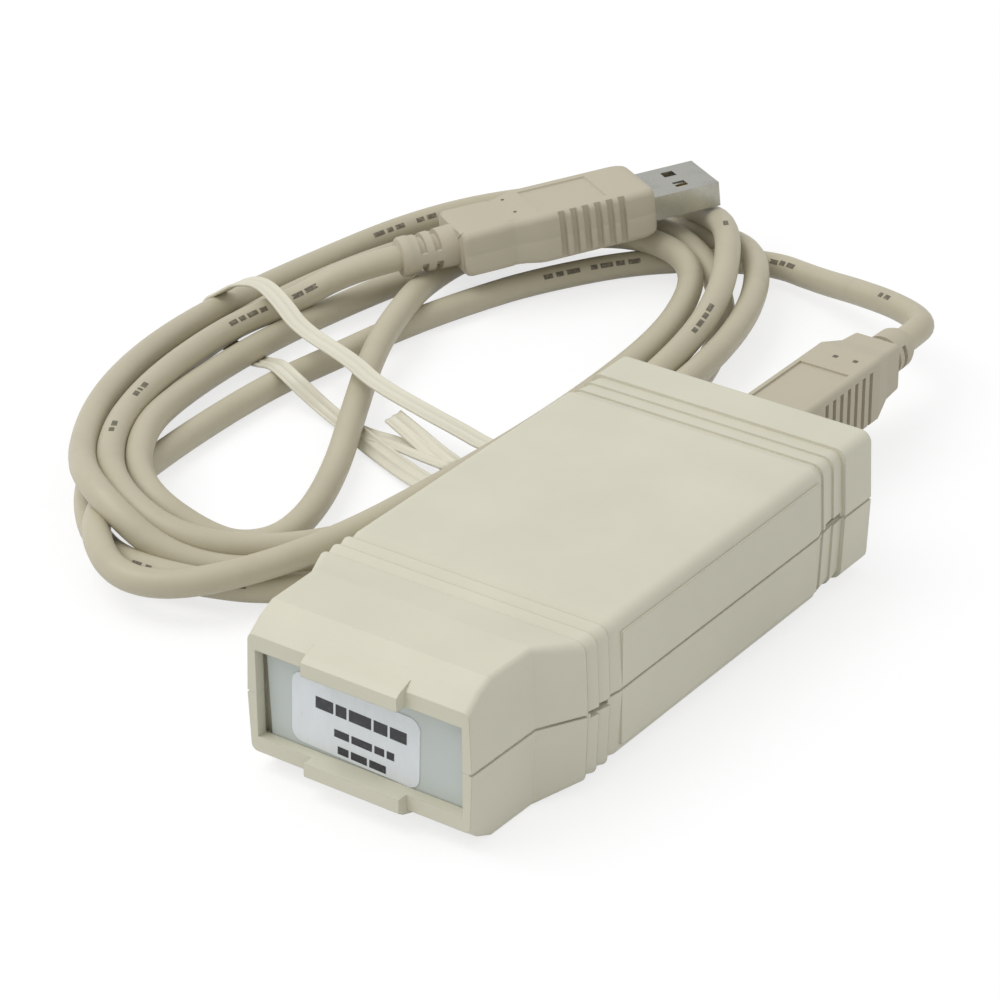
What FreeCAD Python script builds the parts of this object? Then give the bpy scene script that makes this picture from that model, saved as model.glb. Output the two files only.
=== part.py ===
import FreeCAD, Part
import math
import os
import Sketcher
from FreeCAD import Placement, Rotation, Vector

# Radio modem in a two-part moulded case, with its lead plugged in at the back.
# Frame: x across the case, y from the nose to the rear, z up, z = 0 is the table.
# The middle of the case, seen from above, stands on the origin.

DIMENSIONS = [
    ("case_length", 100.0, "front lip to rear edge"),
    ("body_width", 47.6, "case width at the parting line"),
    ("body_height", 23.0, "height over both covers, body"),
    ("rear_step", 0.15, "part behind the rear bands below the body"),
    ("nose_width", 39.4, "case width at the front lip"),
    ("nose_flare", 0.3, "nose wider on each side where the shoulder starts"),
    ("nose_height", 26.0, "height over both covers, nose"),
    ("bevel_drop", 3.3, "bevel of the nose, from its top to the flat front face"),
    ("nose_flat", 0.06, "skimmed off the nose, so that the case stands on a true plane"),
    ("bevel_mid_y", 2.7, "first facet of the nose bevel ends"),
    ("bevel_mid_drop", 1.2, "bevel drop below the nose top at that place"),
    ("bevel_end_y", 5.5, "nose bevel ends"),
    ("shoulder_start", 14.8, "nose ends and the shoulder starts"),
    ("shoulder_end", 22.1, "shoulder ends at the first band"),
    ("front_band_pitch", 2.75, "length of one front band"),
    ("band_tip", 0.2, "how far a front band stands out of the body"),
    ("front_valley", 0.45, "how far a front band starts below the body"),
    ("rear_band_inset", 15.6, "rear edge to the start of the rear bands"),
    ("first_rear_band", 2.0, "length of the first rear ramp"),
    ("rear_band_pitch", 2.95, "length of one rear band"),
    ("rear_valley", 0.6, "how far a rear band ends below the body"),
    ("rear_crest", 0.3, "how far a rear band starts below the body"),
    ("draft_angle", 2.4, "draft of the side walls in degrees"),
    ("edge_radius", 1.9, "rounding of the long edges"),
    ("nose_radius", 1.1, "rounding of the nose edges"),
    ("wall", 2.1, "side wall"),
    ("roof", 2.1, "top or floor wall"),
    ("rim_rebate", 0.4, "rebate that opens the parting line"),
    ("side_panel_gap", 0.55, "front bands to the raised side panel"),
    ("side_panel_drop", 2.1, "raised side panel below the top"),
    ("lug_width", 16.8, "nose lug"),
    ("lug_reach", 1.9, "nose lug, reach in front of the lip"),
    ("lug_drop", 0.3, "nose lug, upper edge below the edge of the lip"),
    ("lug_hang", 1.3, "nose lug, how far it hangs over the opening"),
    ("front_side_wall", 1.65, "wall beside the front opening"),
    ("front_top_wall", 2.5, "wall above the front opening"),
    ("lip_depth", 1.8, "lip in front of the panel"),
    ("panel_thickness", 1.2, "front and rear panels"),
    ("panel_play", 0.1, "play of a panel in its groove"),
    ("panel_bite", 0.8, "how far a panel reaches behind the lip"),
    ("rib_thickness", 1.2, "rib behind a panel"),
    ("rear_lip", 1.1, "lip behind the rear panel"),
    ("rear_side_wall", 2.6, "wall beside the rear opening"),
    ("rear_top_wall", 2.25, "wall above the rear opening"),
    ("front_hook_inset", 3.45, "shoulder to the middle of the front hook and notch"),
    ("rear_hook_inset", 10.6, "rear edge to the middle of the rear hook and notch"),
    ("notch_width", 4.6, "pry notch in the rim"),
    ("notch_depth", 0.95, "pry notch in the rim"),
    ("hook_width", 3.8, "snap hook"),
    ("hook_length", 4.4, "snap hook below the rim"),
    ("hook_thickness", 1.3, "snap hook"),
    ("barb", 0.7, "barb of the snap hook"),
    ("fit_gap", 0.15, "running gap between the two covers"),
    ("tongue_depth", 1.4, "tongue that lines up the covers"),
    ("tongue_thickness", 1.0, "tongue that lines up the covers"),
    ("board_side_gap", 0.85, "main board to the wall beside it in the nose"),
    ("board_thickness", 1.6, "main board"),
    ("board_front", 8.0, "front edge of the main board"),
    ("board_gap", 0.3, "main board to the rib behind it"),
    ("board_standoff", 1.9, "main board above the floor"),
    ("boss_diameter", 6.0, "screw boss"),
    ("boss_inset", 3.6, "screw boss from the side edge of the board"),
    ("front_boss_y", 13.0, "front screw bosses"),
    ("rear_boss_inset", 26.0, "rear screw bosses from the rear edge of the board"),
    ("screw_diameter", 2.6, "board screw"),
    ("screw_head", 5.0, "board screw head"),
    ("screw_head_height", 1.8, "board screw head"),
    ("screw_length", 4.0, "board screw below its head"),
    ("label_width", 22.5, "label on the front panel"),
    ("label_height", 11.6, "label on the front panel"),
    ("label_thickness", 0.15, "label on the front panel"),
    ("label_corner", 1.9, "label corner"),
    ("socket_width", 12.0, "cable socket"),
    ("socket_height", 10.9, "cable socket"),
    ("socket_depth", 16.4, "cable socket"),
    ("socket_wall", 0.4, "cable socket shell"),
    ("plug_b_width", 8.0, "square plug shell"),
    ("plug_b_height", 7.3, "square plug shell"),
    ("plug_b_insert", 9.0, "square plug shell inside the socket"),
    ("shell_wall", 0.35, "sheet of both plug shells"),
    ("plug_play", 0.25, "play of the square plug in its socket"),
    ("grip_b_gap", 2.0, "rear edge of the case to the square plug's moulding"),
    ("grip_b_width", 11.8, "square plug moulding"),
    ("grip_b_height", 11.4, "square plug moulding"),
    ("grip_b_length", 31.0, "square plug moulding, wide part"),
    ("grip_b_neck", 4.6, "square plug moulding, narrowing part"),
    ("grip_b_tail", 4.0, "square plug moulding, narrow part"),
    ("grip_b_waist", 1.2, "narrowing of each side"),
    ("groove_pitch", 2.3, "grip grooves"),
    ("groove_width", 1.0, "grip grooves"),
    ("groove_depth", 0.7, "grip grooves"),
    ("relief_diameter", 7.5, "strain relief"),
    ("relief_b_length", 7.2, "strain relief of the square plug"),
    ("relief_a_length", 12.8, "strain relief of the flat plug"),
    ("relief_core", 5.9, "strain relief inside its slots"),
    ("slot_width", 1.1, "slot of the strain relief"),
    ("slot_pitch", 2.3, "slots of the strain relief"),
    ("plug_a_width", 12.0, "flat plug shell"),
    ("plug_a_height", 4.5, "flat plug shell"),
    ("plug_a_reach", 12.7, "flat plug shell in front of its moulding"),
    ("plug_a_root", 5.0, "flat plug shell inside its moulding"),
    ("grip_a_width", 15.2, "flat plug moulding"),
    ("grip_a_height", 9.2, "flat plug moulding"),
    ("grip_a_length", 28.0, "flat plug moulding, wide part"),
    ("grip_a_tail", 8.5, "flat plug moulding, rear part"),
    ("grip_a_step", 0.5, "rear part narrower on each side"),
    ("cord_diameter", 4.6, "lead"),
    ("panel_cut_gap", 0.5, "opening edge to the front panel's cut left edge, top"),
    ("panel_cut_slant", 0.6, "slant of that cut edge"),
    ("label_x", -1.8, "middle of the label"),
    ("label_drop", 1.05, "middle of the label below the parting line"),
    ("label_turn", 2.0, "turn of the label in degrees"),
    ("socket_tab", 3.0, "board tabs of the cable socket"),
    ("tongue_width", 5.6, "tongue in the cable socket"),
    ("tongue_height", 3.0, "tongue in the cable socket"),
    ("contact_width", 0.9, "contacts"),
    ("contact_thickness", 0.25, "contacts"),
    ("strip_height", 4.6, "sockets under the radio module"),
    ("strip_width", 2.4, "sockets under the radio module"),
    ("strip_length", 20.4, "sockets under the radio module"),
    ("header_height", 1.6, "pin strips of the radio module"),
    ("module_width", 24.4, "radio module board"),
    ("module_length", 28.0, "radio module board, square part"),
    ("module_nose", 5.0, "radio module board, tapered end"),
    ("module_thickness", 0.8, "radio module board"),
    ("module_gap", 12.0, "rear screw bosses to the radio module"),
    ("can_height", 2.8, "shield can"),
    ("can_wall", 0.25, "shield can"),
    ("wire_diameter", 1.0, "antenna wire"),
    ("wire_rise", 3.4, "antenna wire above the module board"),
    ("wire_gap", 1.1, "tip of the antenna wire to the rib in the nose"),
    ("crystal_length", 11.0, "crystal"),
    ("crystal_width", 4.7, "crystal"),
    ("crystal_height", 3.5, "crystal"),
    ("capacitor_diameter", 6.3, "round capacitors"),
    ("capacitor_height", 7.7, "round capacitors"),
    ("chip_part_width", 1.25, "small chip parts"),
    ("chip_part_length", 2.0, "small chip parts"),
    ("shell_root", 4.0, "square plug shell inside its moulding"),
    ("field_depth", 0.35, "plain recessed field on both mouldings"),
    ("window_x", 2.6, "windows of the flat plug shell"),
    ("window_y", 6.6, "windows of the flat plug shell"),
    ("window_width", 2.3, "windows of the flat plug shell"),
    ("window_length", 2.3, "windows of the flat plug shell"),
    ("socket_tab_width", 2.0, "board tabs of the cable socket"),
    ("tab_slot_width", 2.2, "slots for those tabs in the board"),
    ("tail_gap_length", 5.0, "opening under the socket for its contact tails"),
    ("strip_inset", 0.3, "sockets of the radio module from its side edge"),
    ("header_step", 0.2, "pin strips narrower on each side than the sockets"),
    ("can_side_gap", 3.0, "shield can from the side edge of its board"),
    ("can_end_gap", 4.5, "shield can from the ends of its board, on average"),
    ("can_shift", 2.0, "shield can towards the rear"),
    ("chip_lead_reach", 0.9, "leads of the chips"),
    ("chip_lead_width", 0.36, "leads of the chips"),
    ("bridge_width", 5.3, "bridge chip"),
    ("bridge_length", 10.2, "bridge chip"),
    ("bridge_height", 1.75, "bridge chip"),
    ("bridge_pitch", 0.65, "bridge chip leads"),
    ("bridge_gap", 9.4, "middle of the bridge chip to the cable socket"),
    ("controller_width", 7.5, "microcontroller"),
    ("controller_length", 12.8, "microcontroller"),
    ("controller_height", 2.3, "microcontroller"),
    ("controller_pitch", 1.27, "microcontroller leads"),
    ("controller_gap", 4.0, "middle of the microcontroller behind the front bosses"),
    ("regulator_width", 3.6, "voltage regulator"),
    ("regulator_length", 6.5, "voltage regulator"),
    ("regulator_height", 1.7, "voltage regulator"),
    ("regulator_pitch", 2.3, "voltage regulator leads"),
    ("regulator_x", 11.5, "voltage regulator from the middle"),
    ("regulator_gap", 8.0, "voltage regulator in front of the rear bosses"),
    ("crystal_x", 11.3, "crystal from the middle"),
    ("crystal_gap", 8.8, "crystal in front of the rear bosses"),
    ("capacitor_x", 11.4, "round capacitors from the middle"),
    ("capacitor_gap", 12.0, "round capacitors from the rear edge of the board"),
    ("chip_capacitor_x", 13.0, "chip capacitors from the middle"),
    ("chip_capacitor_height", 0.9, "chip capacitors"),
    ("chip_resistor_x", 7.5, "chip resistors from the middle"),
    ("chip_resistor_height", 0.5, "chip resistors"),
    ("grip_a_chamfer", 1.6, "flat plug moulding, rounded front"),
    ("grip_a_chamfer_step", 0.9, "narrowing of that front on each side"),
    ("grip_a_groove_start", 7.7, "first grip groove of the flat plug"),
    ("grip_lip", 1.4, "square plug moulding above its grip grooves"),
    ("exit_run", 5.4, "lead runs straight out of the square plug's relief"),
    ("tail_run", 7.0, "lead runs straight out of the flat plug's relief"),
    ("bar_height", 1.9, "plastic bar of the flat plug"),
    ("contact_pitch", 2.3, "contacts of the flat plug"),
    ("plug_a_x", -66.0, "flat plug, front of its moulding"),
    ("plug_a_y", 121.7, "flat plug, front of its moulding"),
    ("plug_a_z", 14.2, "flat plug, front of its moulding"),
    ("plug_a_yaw", 32.6, "flat plug, turn from the case's axis in degrees"),
    ("plug_a_pitch", 4.1, "flat plug, tip up in degrees"),
    ("plug_a_roll", 3.4, "flat plug, right side up in degrees"),
    ("coil_height", 6.8, "coil of the lead"),
    ("tie_width", 3.6, "twist tie"),
    ("tie_thickness", 0.7, "twist tie"),
]

FRONT_BANDS = 3
REAR_BANDS = 2
GROOVES_B = 7
GROOVES_A = 6
BRIDGE_LEADS = 14
CONTROLLER_LEADS = 10
REGULATOR_LEADS = 3

doc = FreeCAD.newDocument("usb_radio_modem")
sheet = doc.addObject("Spreadsheet::Sheet", "dims")
nodes = []


class Size:
    """A length from the sheet, or worked out from it: its formula and its value."""

    def __init__(self, formula, number):
        self.formula = formula
        self.number = number

    def __add__(self, other):
        return joined(self, "+", other)

    def __radd__(self, other):
        return joined(other, "+", self)

    def __sub__(self, other):
        return joined(self, "-", other)

    def __rsub__(self, other):
        return joined(other, "-", self)

    def __mul__(self, other):
        return joined(self, "*", other)

    def __rmul__(self, other):
        return joined(other, "*", self)

    def __truediv__(self, other):
        return joined(self, "/", other)

    def __neg__(self):
        return joined(0, "-", self)


def number(size):
    """Value of a size, in millimetres or degrees."""
    return size.number if isinstance(size, Size) else float(size)


def formula(size):
    """Text that binds a property to a size."""
    return size.formula if isinstance(size, Size) else repr(float(size))


def joined(left, sign, right):
    """Two sizes joined by one of + - * /."""
    first, second = number(left), number(right)
    results = {"+": first + second, "-": first - second, "*": first * second}
    result = results[sign] if sign in results else first / second
    return Size("(%s %s %s)" % (formula(left), sign, formula(right)), result)


class Sizes:
    """The driving dimensions, one attribute for each alias in the sheet."""


def fill_sheet():
    """Write the driving dimensions to the sheet and give them back by name."""
    sizes = Sizes()
    for row, (alias, amount, note) in enumerate(DIMENSIONS, start=1):
        sheet.set("A%d" % row, alias)
        sheet.set("B%d" % row, str(amount))
        sheet.set("C%d" % row, note)
        sheet.setAlias("B%d" % row, alias)
        setattr(sizes, alias, Size("dims.%s" % alias, amount))
    doc.recompute()
    return sizes


d = fill_sheet()

# Places that several pieces share.
case_front = -(d.case_length - d.lug_reach) / 2
parting_z = d.nose_height / 2
rear_height = d.body_height - 2 * d.rear_step
lip_height = d.nose_height - 2 * d.bevel_drop
nose_back_width = d.nose_width + 2 * d.nose_flare
opening_width = d.nose_width - 2 * d.front_side_wall
opening_height = lip_height - 2 * d.front_top_wall
rear_opening_width = d.body_width - 2 * d.rear_side_wall
rear_opening_height = rear_height - 2 * d.rear_top_wall
cavity_front = d.lip_depth + d.panel_thickness + 2 * d.panel_play + d.rib_thickness
rear_groove_end = d.case_length - d.rear_lip
rear_groove_start = rear_groove_end - d.panel_thickness - 2 * d.panel_play
cavity_rear = rear_groove_start - d.rib_thickness
cavity_half_width = d.body_width / 2 - d.wall
cavity_height = d.body_height / 2 - d.roof
nose_cavity_height = d.nose_height / 2 - d.roof
body_start = d.shoulder_end + FRONT_BANDS * d.front_band_pitch
side_panel_start = body_start + d.side_panel_gap
rear_band_start = d.case_length - d.rear_band_inset
rear_start = rear_band_start + d.first_rear_band + REAR_BANDS * d.rear_band_pitch
front_hook_y = d.shoulder_end + d.front_hook_inset
rear_hook_y = d.case_length - d.rear_hook_inset
board_half_width = opening_width / 2 - d.board_side_gap
board_rear = cavity_rear - d.board_gap
board_under_z = parting_z - cavity_height + d.board_standoff
board_top_z = board_under_z + d.board_thickness
boss_x = board_half_width - d.boss_inset
rear_boss_y = board_rear - d.rear_boss_inset
socket_axis_z = board_top_z + d.socket_height / 2
socket_mouth = rear_groove_end - d.panel_play
socket_back = socket_mouth - d.socket_depth
module_y = rear_boss_y - d.module_gap - d.module_length
module_under_z = board_top_z + d.strip_height + d.header_height
plug_b_face_y = case_front + d.case_length + d.grip_b_gap
plug_b_length = d.shell_root + d.grip_b_gap + d.rear_lip + d.panel_play + d.plug_b_insert
grip_b_end = d.grip_b_length + d.grip_b_neck + d.grip_b_tail


def bind(thing, path, size):
    """Hold one property of a document object to a size."""
    thing.setExpression(path, formula(size))


def place(thing, x=0, y=0, z=0):
    """Hold the place of an object to sizes."""
    bind(thing, "Placement.Base.x", x)
    bind(thing, "Placement.Base.y", y)
    bind(thing, "Placement.Base.z", z)


def keep(thing, label):
    """Name a finished piece and list it for export."""
    thing.Label = label
    nodes.append(thing)
    return thing


# Part primitives and booleans

def block(name, length, width, height, x, y, z, centred=True):
    """Rectangular block; x is its middle when centred, y and z its lower corner."""
    piece = doc.addObject("Part::Box", name)
    bind(piece, "Length", length)
    bind(piece, "Width", width)
    bind(piece, "Height", height)
    left = x - length / 2 if centred else x
    place(piece, left, y, z)
    return piece


def rod(name, radius, height, x, y, z, axis=None):
    """Cylinder that stands at a point, along z or a given axis."""
    piece = doc.addObject("Part::Cylinder", name)
    bind(piece, "Radius", radius)
    bind(piece, "Height", height)
    if axis is not None:
        piece.Placement = Placement(Vector(), Rotation(Vector(0, 0, 1), axis))
    place(piece, x, y, z)
    return piece


def cut(name, base, tool):
    """Base without tool."""
    piece = doc.addObject("Part::Cut", name)
    piece.Base = base
    piece.Tool = tool
    return piece


def group(name, pieces):
    """Several pieces as one object."""
    piece = doc.addObject("Part::Compound", name)
    piece.Links = pieces
    return piece


def fuse(name, pieces):
    """Several pieces joined into one solid."""
    piece = doc.addObject("Part::MultiFuse", name)
    piece.Shapes = pieces
    piece.Refine = True
    return piece


# PartDesign bodies and sketches

def new_body(label):
    """Body with its own label."""
    body = doc.addObject("PartDesign::Body", label)
    return keep(body, label)


def sketch_on(body, role, name, offset=None):
    """Sketch on one of the body's own origin planes, moved along its normal."""
    plane = [part for part in body.Origin.OriginFeatures if part.Role == role][0]
    sketch = body.newObject("Sketcher::SketchObject", name)
    sketch.AttachmentSupport = [(plane, "")]
    sketch.MapMode = "FlatFace"
    if offset is not None:
        bind(sketch, "AttachmentOffset.Base.z", offset)
    return sketch


def measured(sketch, constraint, size):
    """Add a constraint that carries a size and bind it."""
    index = sketch.addConstraint(constraint)
    if isinstance(size, Size):
        bind(sketch, "Constraints[%d]" % index, size)


def pin(sketch, geometry, point, x, y):
    """Hold one point of a sketch at x, y."""
    for axis, kind, size in ((-2, "DistanceX", x), (-1, "DistanceY", y)):
        if number(size) == 0:
            sketch.addConstraint(Sketcher.Constraint("PointOnObject", geometry, point, axis))
        else:
            rule = Sketcher.Constraint(kind, -1, 1, geometry, point, number(size))
            measured(sketch, rule, size)


def outline(sketch, points):
    """Closed outline of straight lines through points."""
    first = sketch.GeometryCount
    count = len(points)
    corners = [Vector(number(x), number(y), 0) for x, y in points]
    for index in range(count):
        sketch.addGeometry(Part.LineSegment(corners[index], corners[(index + 1) % count]), False)
    for index in range(count):
        follower = first + (index + 1) % count
        sketch.addConstraint(Sketcher.Constraint("Coincident", first + index, 2, follower, 1))
    for index, (x, y) in enumerate(points):
        pin(sketch, first + index, 1, x, y)


def rectangle(sketch, x0, x1, y0, y1):
    """Rectangle between two corners."""
    outline(sketch, [(x0, y0), (x1, y0), (x1, y1), (x0, y1)])


def circle(sketch, x, y, radius):
    """Circle held at its middle."""
    index = sketch.addGeometry(Part.Circle(Vector(number(x), number(y), 0), Vector(0, 0, 1),
                                           number(radius)), False)
    pin(sketch, index, 3, x, y)
    measured(sketch, Sketcher.Constraint("Radius", index, number(radius)), radius)


def arc(sketch, middle, radius, start, end):
    """Arc of a circle between two angles in degrees."""
    round_part = Part.Circle(Vector(middle[0], middle[1], 0), Vector(0, 0, 1), radius)
    piece = Part.ArcOfCircle(round_part, math.radians(start), math.radians(end))
    return sketch.addGeometry(piece, False)


def line(sketch, start, end):
    """Straight line between two points given as numbers."""
    return sketch.addGeometry(Part.LineSegment(Vector(*start, 0), Vector(*end, 0)), False)


def cover_profile(sketch, half_width, height, radius):
    """Half section of the case: flat rim, drafted sides and rounded upper edges."""
    wide, high, round_off = number(half_width), number(height), number(radius)
    lean = math.radians(number(d.draft_angle))
    centre_x = wide - (high - round_off) * math.tan(lean) - round_off / math.cos(lean)
    centre_y = high - round_off
    touch = (centre_x + round_off * math.cos(lean), centre_y + round_off * math.sin(lean))
    rim = line(sketch, (-wide, 0), (wide, 0))
    right = line(sketch, (wide, 0), touch)
    angle = number(d.draft_angle)
    right_arc = arc(sketch, (centre_x, centre_y), round_off, angle, 90)
    top = line(sketch, (centre_x, high), (-centre_x, high))
    left_arc = arc(sketch, (-centre_x, centre_y), round_off, 90, 180 - angle)
    left = line(sketch, (-touch[0], touch[1]), (-wide, 0))
    rule = Sketcher.Constraint
    sketch.addConstraint([
        rule("Coincident", rim, 2, right, 1),
        rule("Tangent", right, 2, right_arc, 1),
        rule("Tangent", right_arc, 2, top, 1),
        rule("Tangent", top, 2, left_arc, 1),
        rule("Tangent", left_arc, 2, left, 1),
        rule("Coincident", left, 2, rim, 1),
        rule("Horizontal", top),
    ])
    pin(sketch, rim, 1, -half_width, 0)
    pin(sketch, rim, 2, half_width, 0)
    measured(sketch, rule("DistanceY", -1, 1, top, 1, high), height)
    measured(sketch, rule("Radius", right_arc, round_off), radius)
    measured(sketch, rule("Radius", left_arc, round_off), radius)
    measured(sketch, rule("Angle", right, math.radians(90 + angle)), 90 + d.draft_angle)
    measured(sketch, rule("Angle", left, -math.radians(90 + angle)), -90 - d.draft_angle)


def rounded_rectangle(sketch, half_width, half_height, radius, middle_y=0):
    """Rectangle with equal round corners about the sketch's own axis."""
    wide, high, corner = number(half_width), number(half_height), number(radius)
    shift = number(middle_y)
    x, y = wide - corner, high - corner
    bottom = line(sketch, (-x, shift - high), (x, shift - high))
    arc_a = arc(sketch, (x, shift - y), corner, 270, 360)
    right = line(sketch, (wide, shift - y), (wide, shift + y))
    arc_b = arc(sketch, (x, shift + y), corner, 0, 90)
    top = line(sketch, (x, shift + high), (-x, shift + high))
    arc_c = arc(sketch, (-x, shift + y), corner, 90, 180)
    left = line(sketch, (-wide, shift + y), (-wide, shift - y))
    arc_d = arc(sketch, (-x, shift - y), corner, 180, 270)
    ring = [bottom, arc_a, right, arc_b, top, arc_c, left, arc_d]
    rule = Sketcher.Constraint
    for index, piece in enumerate(ring):
        sketch.addConstraint(rule("Tangent", piece, 2, ring[(index + 1) % 8], 1))
    sketch.addConstraint(rule("Horizontal", bottom))
    for piece in (arc_b, arc_c, arc_d):
        sketch.addConstraint(rule("Equal", arc_a, piece))
    measured(sketch, rule("Radius", arc_a, corner), radius)
    measured(sketch, rule("DistanceX", -1, 1, right, 1, wide), half_width)
    measured(sketch, rule("DistanceX", -1, 1, left, 1, -wide), -half_width)
    measured(sketch, rule("DistanceY", -1, 1, top, 1, shift + high), middle_y + half_height)
    measured(sketch, rule("DistanceY", -1, 1, bottom, 1, shift - high), middle_y - half_height)


def pad(body, sketch, length, backward=False, both=False):
    """Pad of a sketch along its normal, or against it."""
    feature = body.newObject("PartDesign::Pad", sketch.Name + "_pad")
    feature.Profile = sketch
    bind(feature, "Length", length)
    feature.Reversed = backward
    feature.Midplane = both
    return feature


def pocket(body, sketch, depth, forward=True, both=False):
    """Pocket of a sketch along its normal, or against it."""
    feature = body.newObject("PartDesign::Pocket", sketch.Name + "_pocket")
    feature.Profile = sketch
    bind(feature, "Length", depth)
    feature.Reversed = forward
    feature.Midplane = both
    return feature


def loft(body, name, sections):
    """Straight-ruled loft through section sketches."""
    feature = body.newObject("PartDesign::AdditiveLoft", name)
    feature.Profile = sections[0]
    feature.Sections = sections[1:]
    feature.Ruled = True
    return feature


def repeat(body, feature, role, count, pitch, backward=False):
    """Row of copies of a feature along one of the body's axes."""
    axis = [part for part in body.Origin.OriginFeatures if part.Role == role][0]
    row = body.newObject("PartDesign::LinearPattern", feature.Name + "_row")
    row.Originals = [feature]
    row.Direction = (axis, [""])
    row.Reversed = backward
    row.Occurrences = count
    bind(row, "Length", (count - 1) * pitch)
    body.Tip = row
    return row


# Case

def cover_section(body, name, y, half_width, height, radius=None):
    """Section sketch of a cover across the case at y."""
    sketch = sketch_on(body, "XZ_Plane", name, -y)
    cover_profile(sketch, half_width, height, d.edge_radius if radius is None else radius)
    return sketch


def cover_outside(body, tag):
    """Nose with its bevel, shoulder, stepped bands, body and rear part."""
    top = d.nose_height / 2
    proud = top + d.nose_flat
    bevel_rate = d.nose_flare / d.shoulder_start

    def nose_half(y):
        return d.nose_width / 2 + bevel_rate * y

    half, high = d.body_width / 2, d.body_height / 2
    nose = [
        cover_section(body, tag + "_lip", 0, nose_half(0), lip_height / 2, d.nose_radius),
        cover_section(body, tag + "_bevel_mid", d.bevel_mid_y, nose_half(d.bevel_mid_y),
                      top - d.bevel_mid_drop, d.nose_radius),
        cover_section(body, tag + "_bevel_end", d.bevel_end_y, nose_half(d.bevel_end_y), proud,
                      d.nose_radius),
        cover_section(body, tag + "_nose_end", d.shoulder_start, nose_back_width / 2, proud,
                      d.nose_radius),
        cover_section(body, tag + "_shoulder", d.shoulder_end, half + d.band_tip,
                      high + d.band_tip),
    ]
    loft(body, tag + "_nose", nose)
    for band in range(FRONT_BANDS):
        start = d.shoulder_end + band * d.front_band_pitch
        crest = d.band_tip if band < FRONT_BANDS - 1 else 0
        low = cover_section(body, "%s_front_low_%d" % (tag, band), start,
                            half - d.front_valley, high - d.front_valley)
        tip = cover_section(body, "%s_front_tip_%d" % (tag, band), start + d.front_band_pitch,
                            half + crest, high + crest)
        loft(body, "%s_front_band_%d" % (tag, band), [low, tip])
    middle = [
        cover_section(body, tag + "_body_start", body_start, half, high),
        cover_section(body, tag + "_body_end", rear_band_start, half, high),
        cover_section(body, tag + "_first_valley", rear_band_start + d.first_rear_band,
                      half - d.rear_valley, high - d.rear_valley),
    ]
    loft(body, tag + "_middle", middle)
    for band in range(REAR_BANDS):
        start = rear_band_start + d.first_rear_band + band * d.rear_band_pitch
        crest = cover_section(body, "%s_rear_crest_%d" % (tag, band), start,
                              half - d.rear_crest, high - d.rear_crest)
        low = cover_section(body, "%s_rear_low_%d" % (tag, band), start + d.rear_band_pitch,
                            half - d.rear_valley, high - d.rear_valley)
        loft(body, "%s_rear_band_%d" % (tag, band), [crest, low])
    rear = [
        cover_section(body, tag + "_rear_start", rear_start, half, rear_height / 2),
        cover_section(body, tag + "_rear_end", d.case_length, half, rear_height / 2),
    ]
    loft(body, tag + "_rear", rear)


def side_panels(body, tag):
    """Raised flat panel on each side, upright where the wall leans in."""
    sketch = sketch_on(body, "XY_Plane", tag + "_side_panels")
    outer, inner = d.body_width / 2, cavity_half_width + d.wall / 2
    rectangle(sketch, inner, outer, side_panel_start, rear_band_start)
    rectangle(sketch, -outer, -inner, side_panel_start, rear_band_start)
    pad(body, sketch, d.body_height / 2 - d.side_panel_drop)


def skim_nose(body, tag):
    """Cut the nose to its height, which leaves the true plane that the case stands on."""
    sketch = sketch_on(body, "XY_Plane", tag + "_nose_flat", d.nose_height / 2)
    rectangle(sketch, -d.body_width / 2, d.body_width / 2, -d.wall, d.shoulder_end)
    pocket(body, sketch, d.wall)


def nose_lug(body, tag):
    """Lug that stands out of the lip and hangs a little over the opening."""
    sketch = sketch_on(body, "YZ_Plane", tag + "_lug")
    root = d.lip_depth - 2 * d.panel_play
    crest = lip_height / 2 + d.bevel_mid_drop
    low, high = opening_height / 2 - d.lug_hang, lip_height / 2 - d.lug_drop
    outline(sketch, [(-d.lug_reach, low), (root, low), (root, crest),
                     (-d.lug_reach / 2, high + d.lug_reach / 3), (-d.lug_reach, high)])
    return pad(body, sketch, d.lug_width, both=True)


def hollow(body, tag):
    """Openings, panel grooves and the room for the board."""
    panel_half = opening_width / 2 + d.panel_bite
    groove_end = d.lip_depth + d.panel_thickness + 2 * d.panel_play
    rear_half = rear_opening_width / 2 + d.panel_bite
    rear_high = rear_opening_height / 2
    nose_half = opening_width / 2
    steps = [
        ("opening", nose_half, -d.wall, d.lip_depth, opening_height / 2),
        ("groove", panel_half, d.lip_depth, groove_end, opening_height / 2 + d.panel_bite),
        ("rib", nose_half - d.panel_bite, groove_end, cavity_front,
         opening_height / 2 - d.panel_bite),
        ("nose_room", nose_half, cavity_front, d.shoulder_end, nose_cavity_height),
        ("body_room", cavity_half_width, d.shoulder_end, cavity_rear, cavity_height),
        ("rear_rib", rear_half - 2 * d.panel_bite, cavity_rear, rear_groove_start,
         rear_high - d.panel_bite),
        ("rear_groove", rear_half, rear_groove_start, rear_groove_end,
         rear_high + d.panel_bite / 2),
        ("rear_opening", rear_opening_width / 2, rear_groove_end, d.case_length + d.wall,
         rear_high),
    ]
    for name, half_width, start, end, depth in steps:
        sketch = sketch_on(body, "XY_Plane", "%s_%s" % (tag, name))
        rectangle(sketch, -half_width, half_width, start, end)
        pocket(body, sketch, depth)


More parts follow.
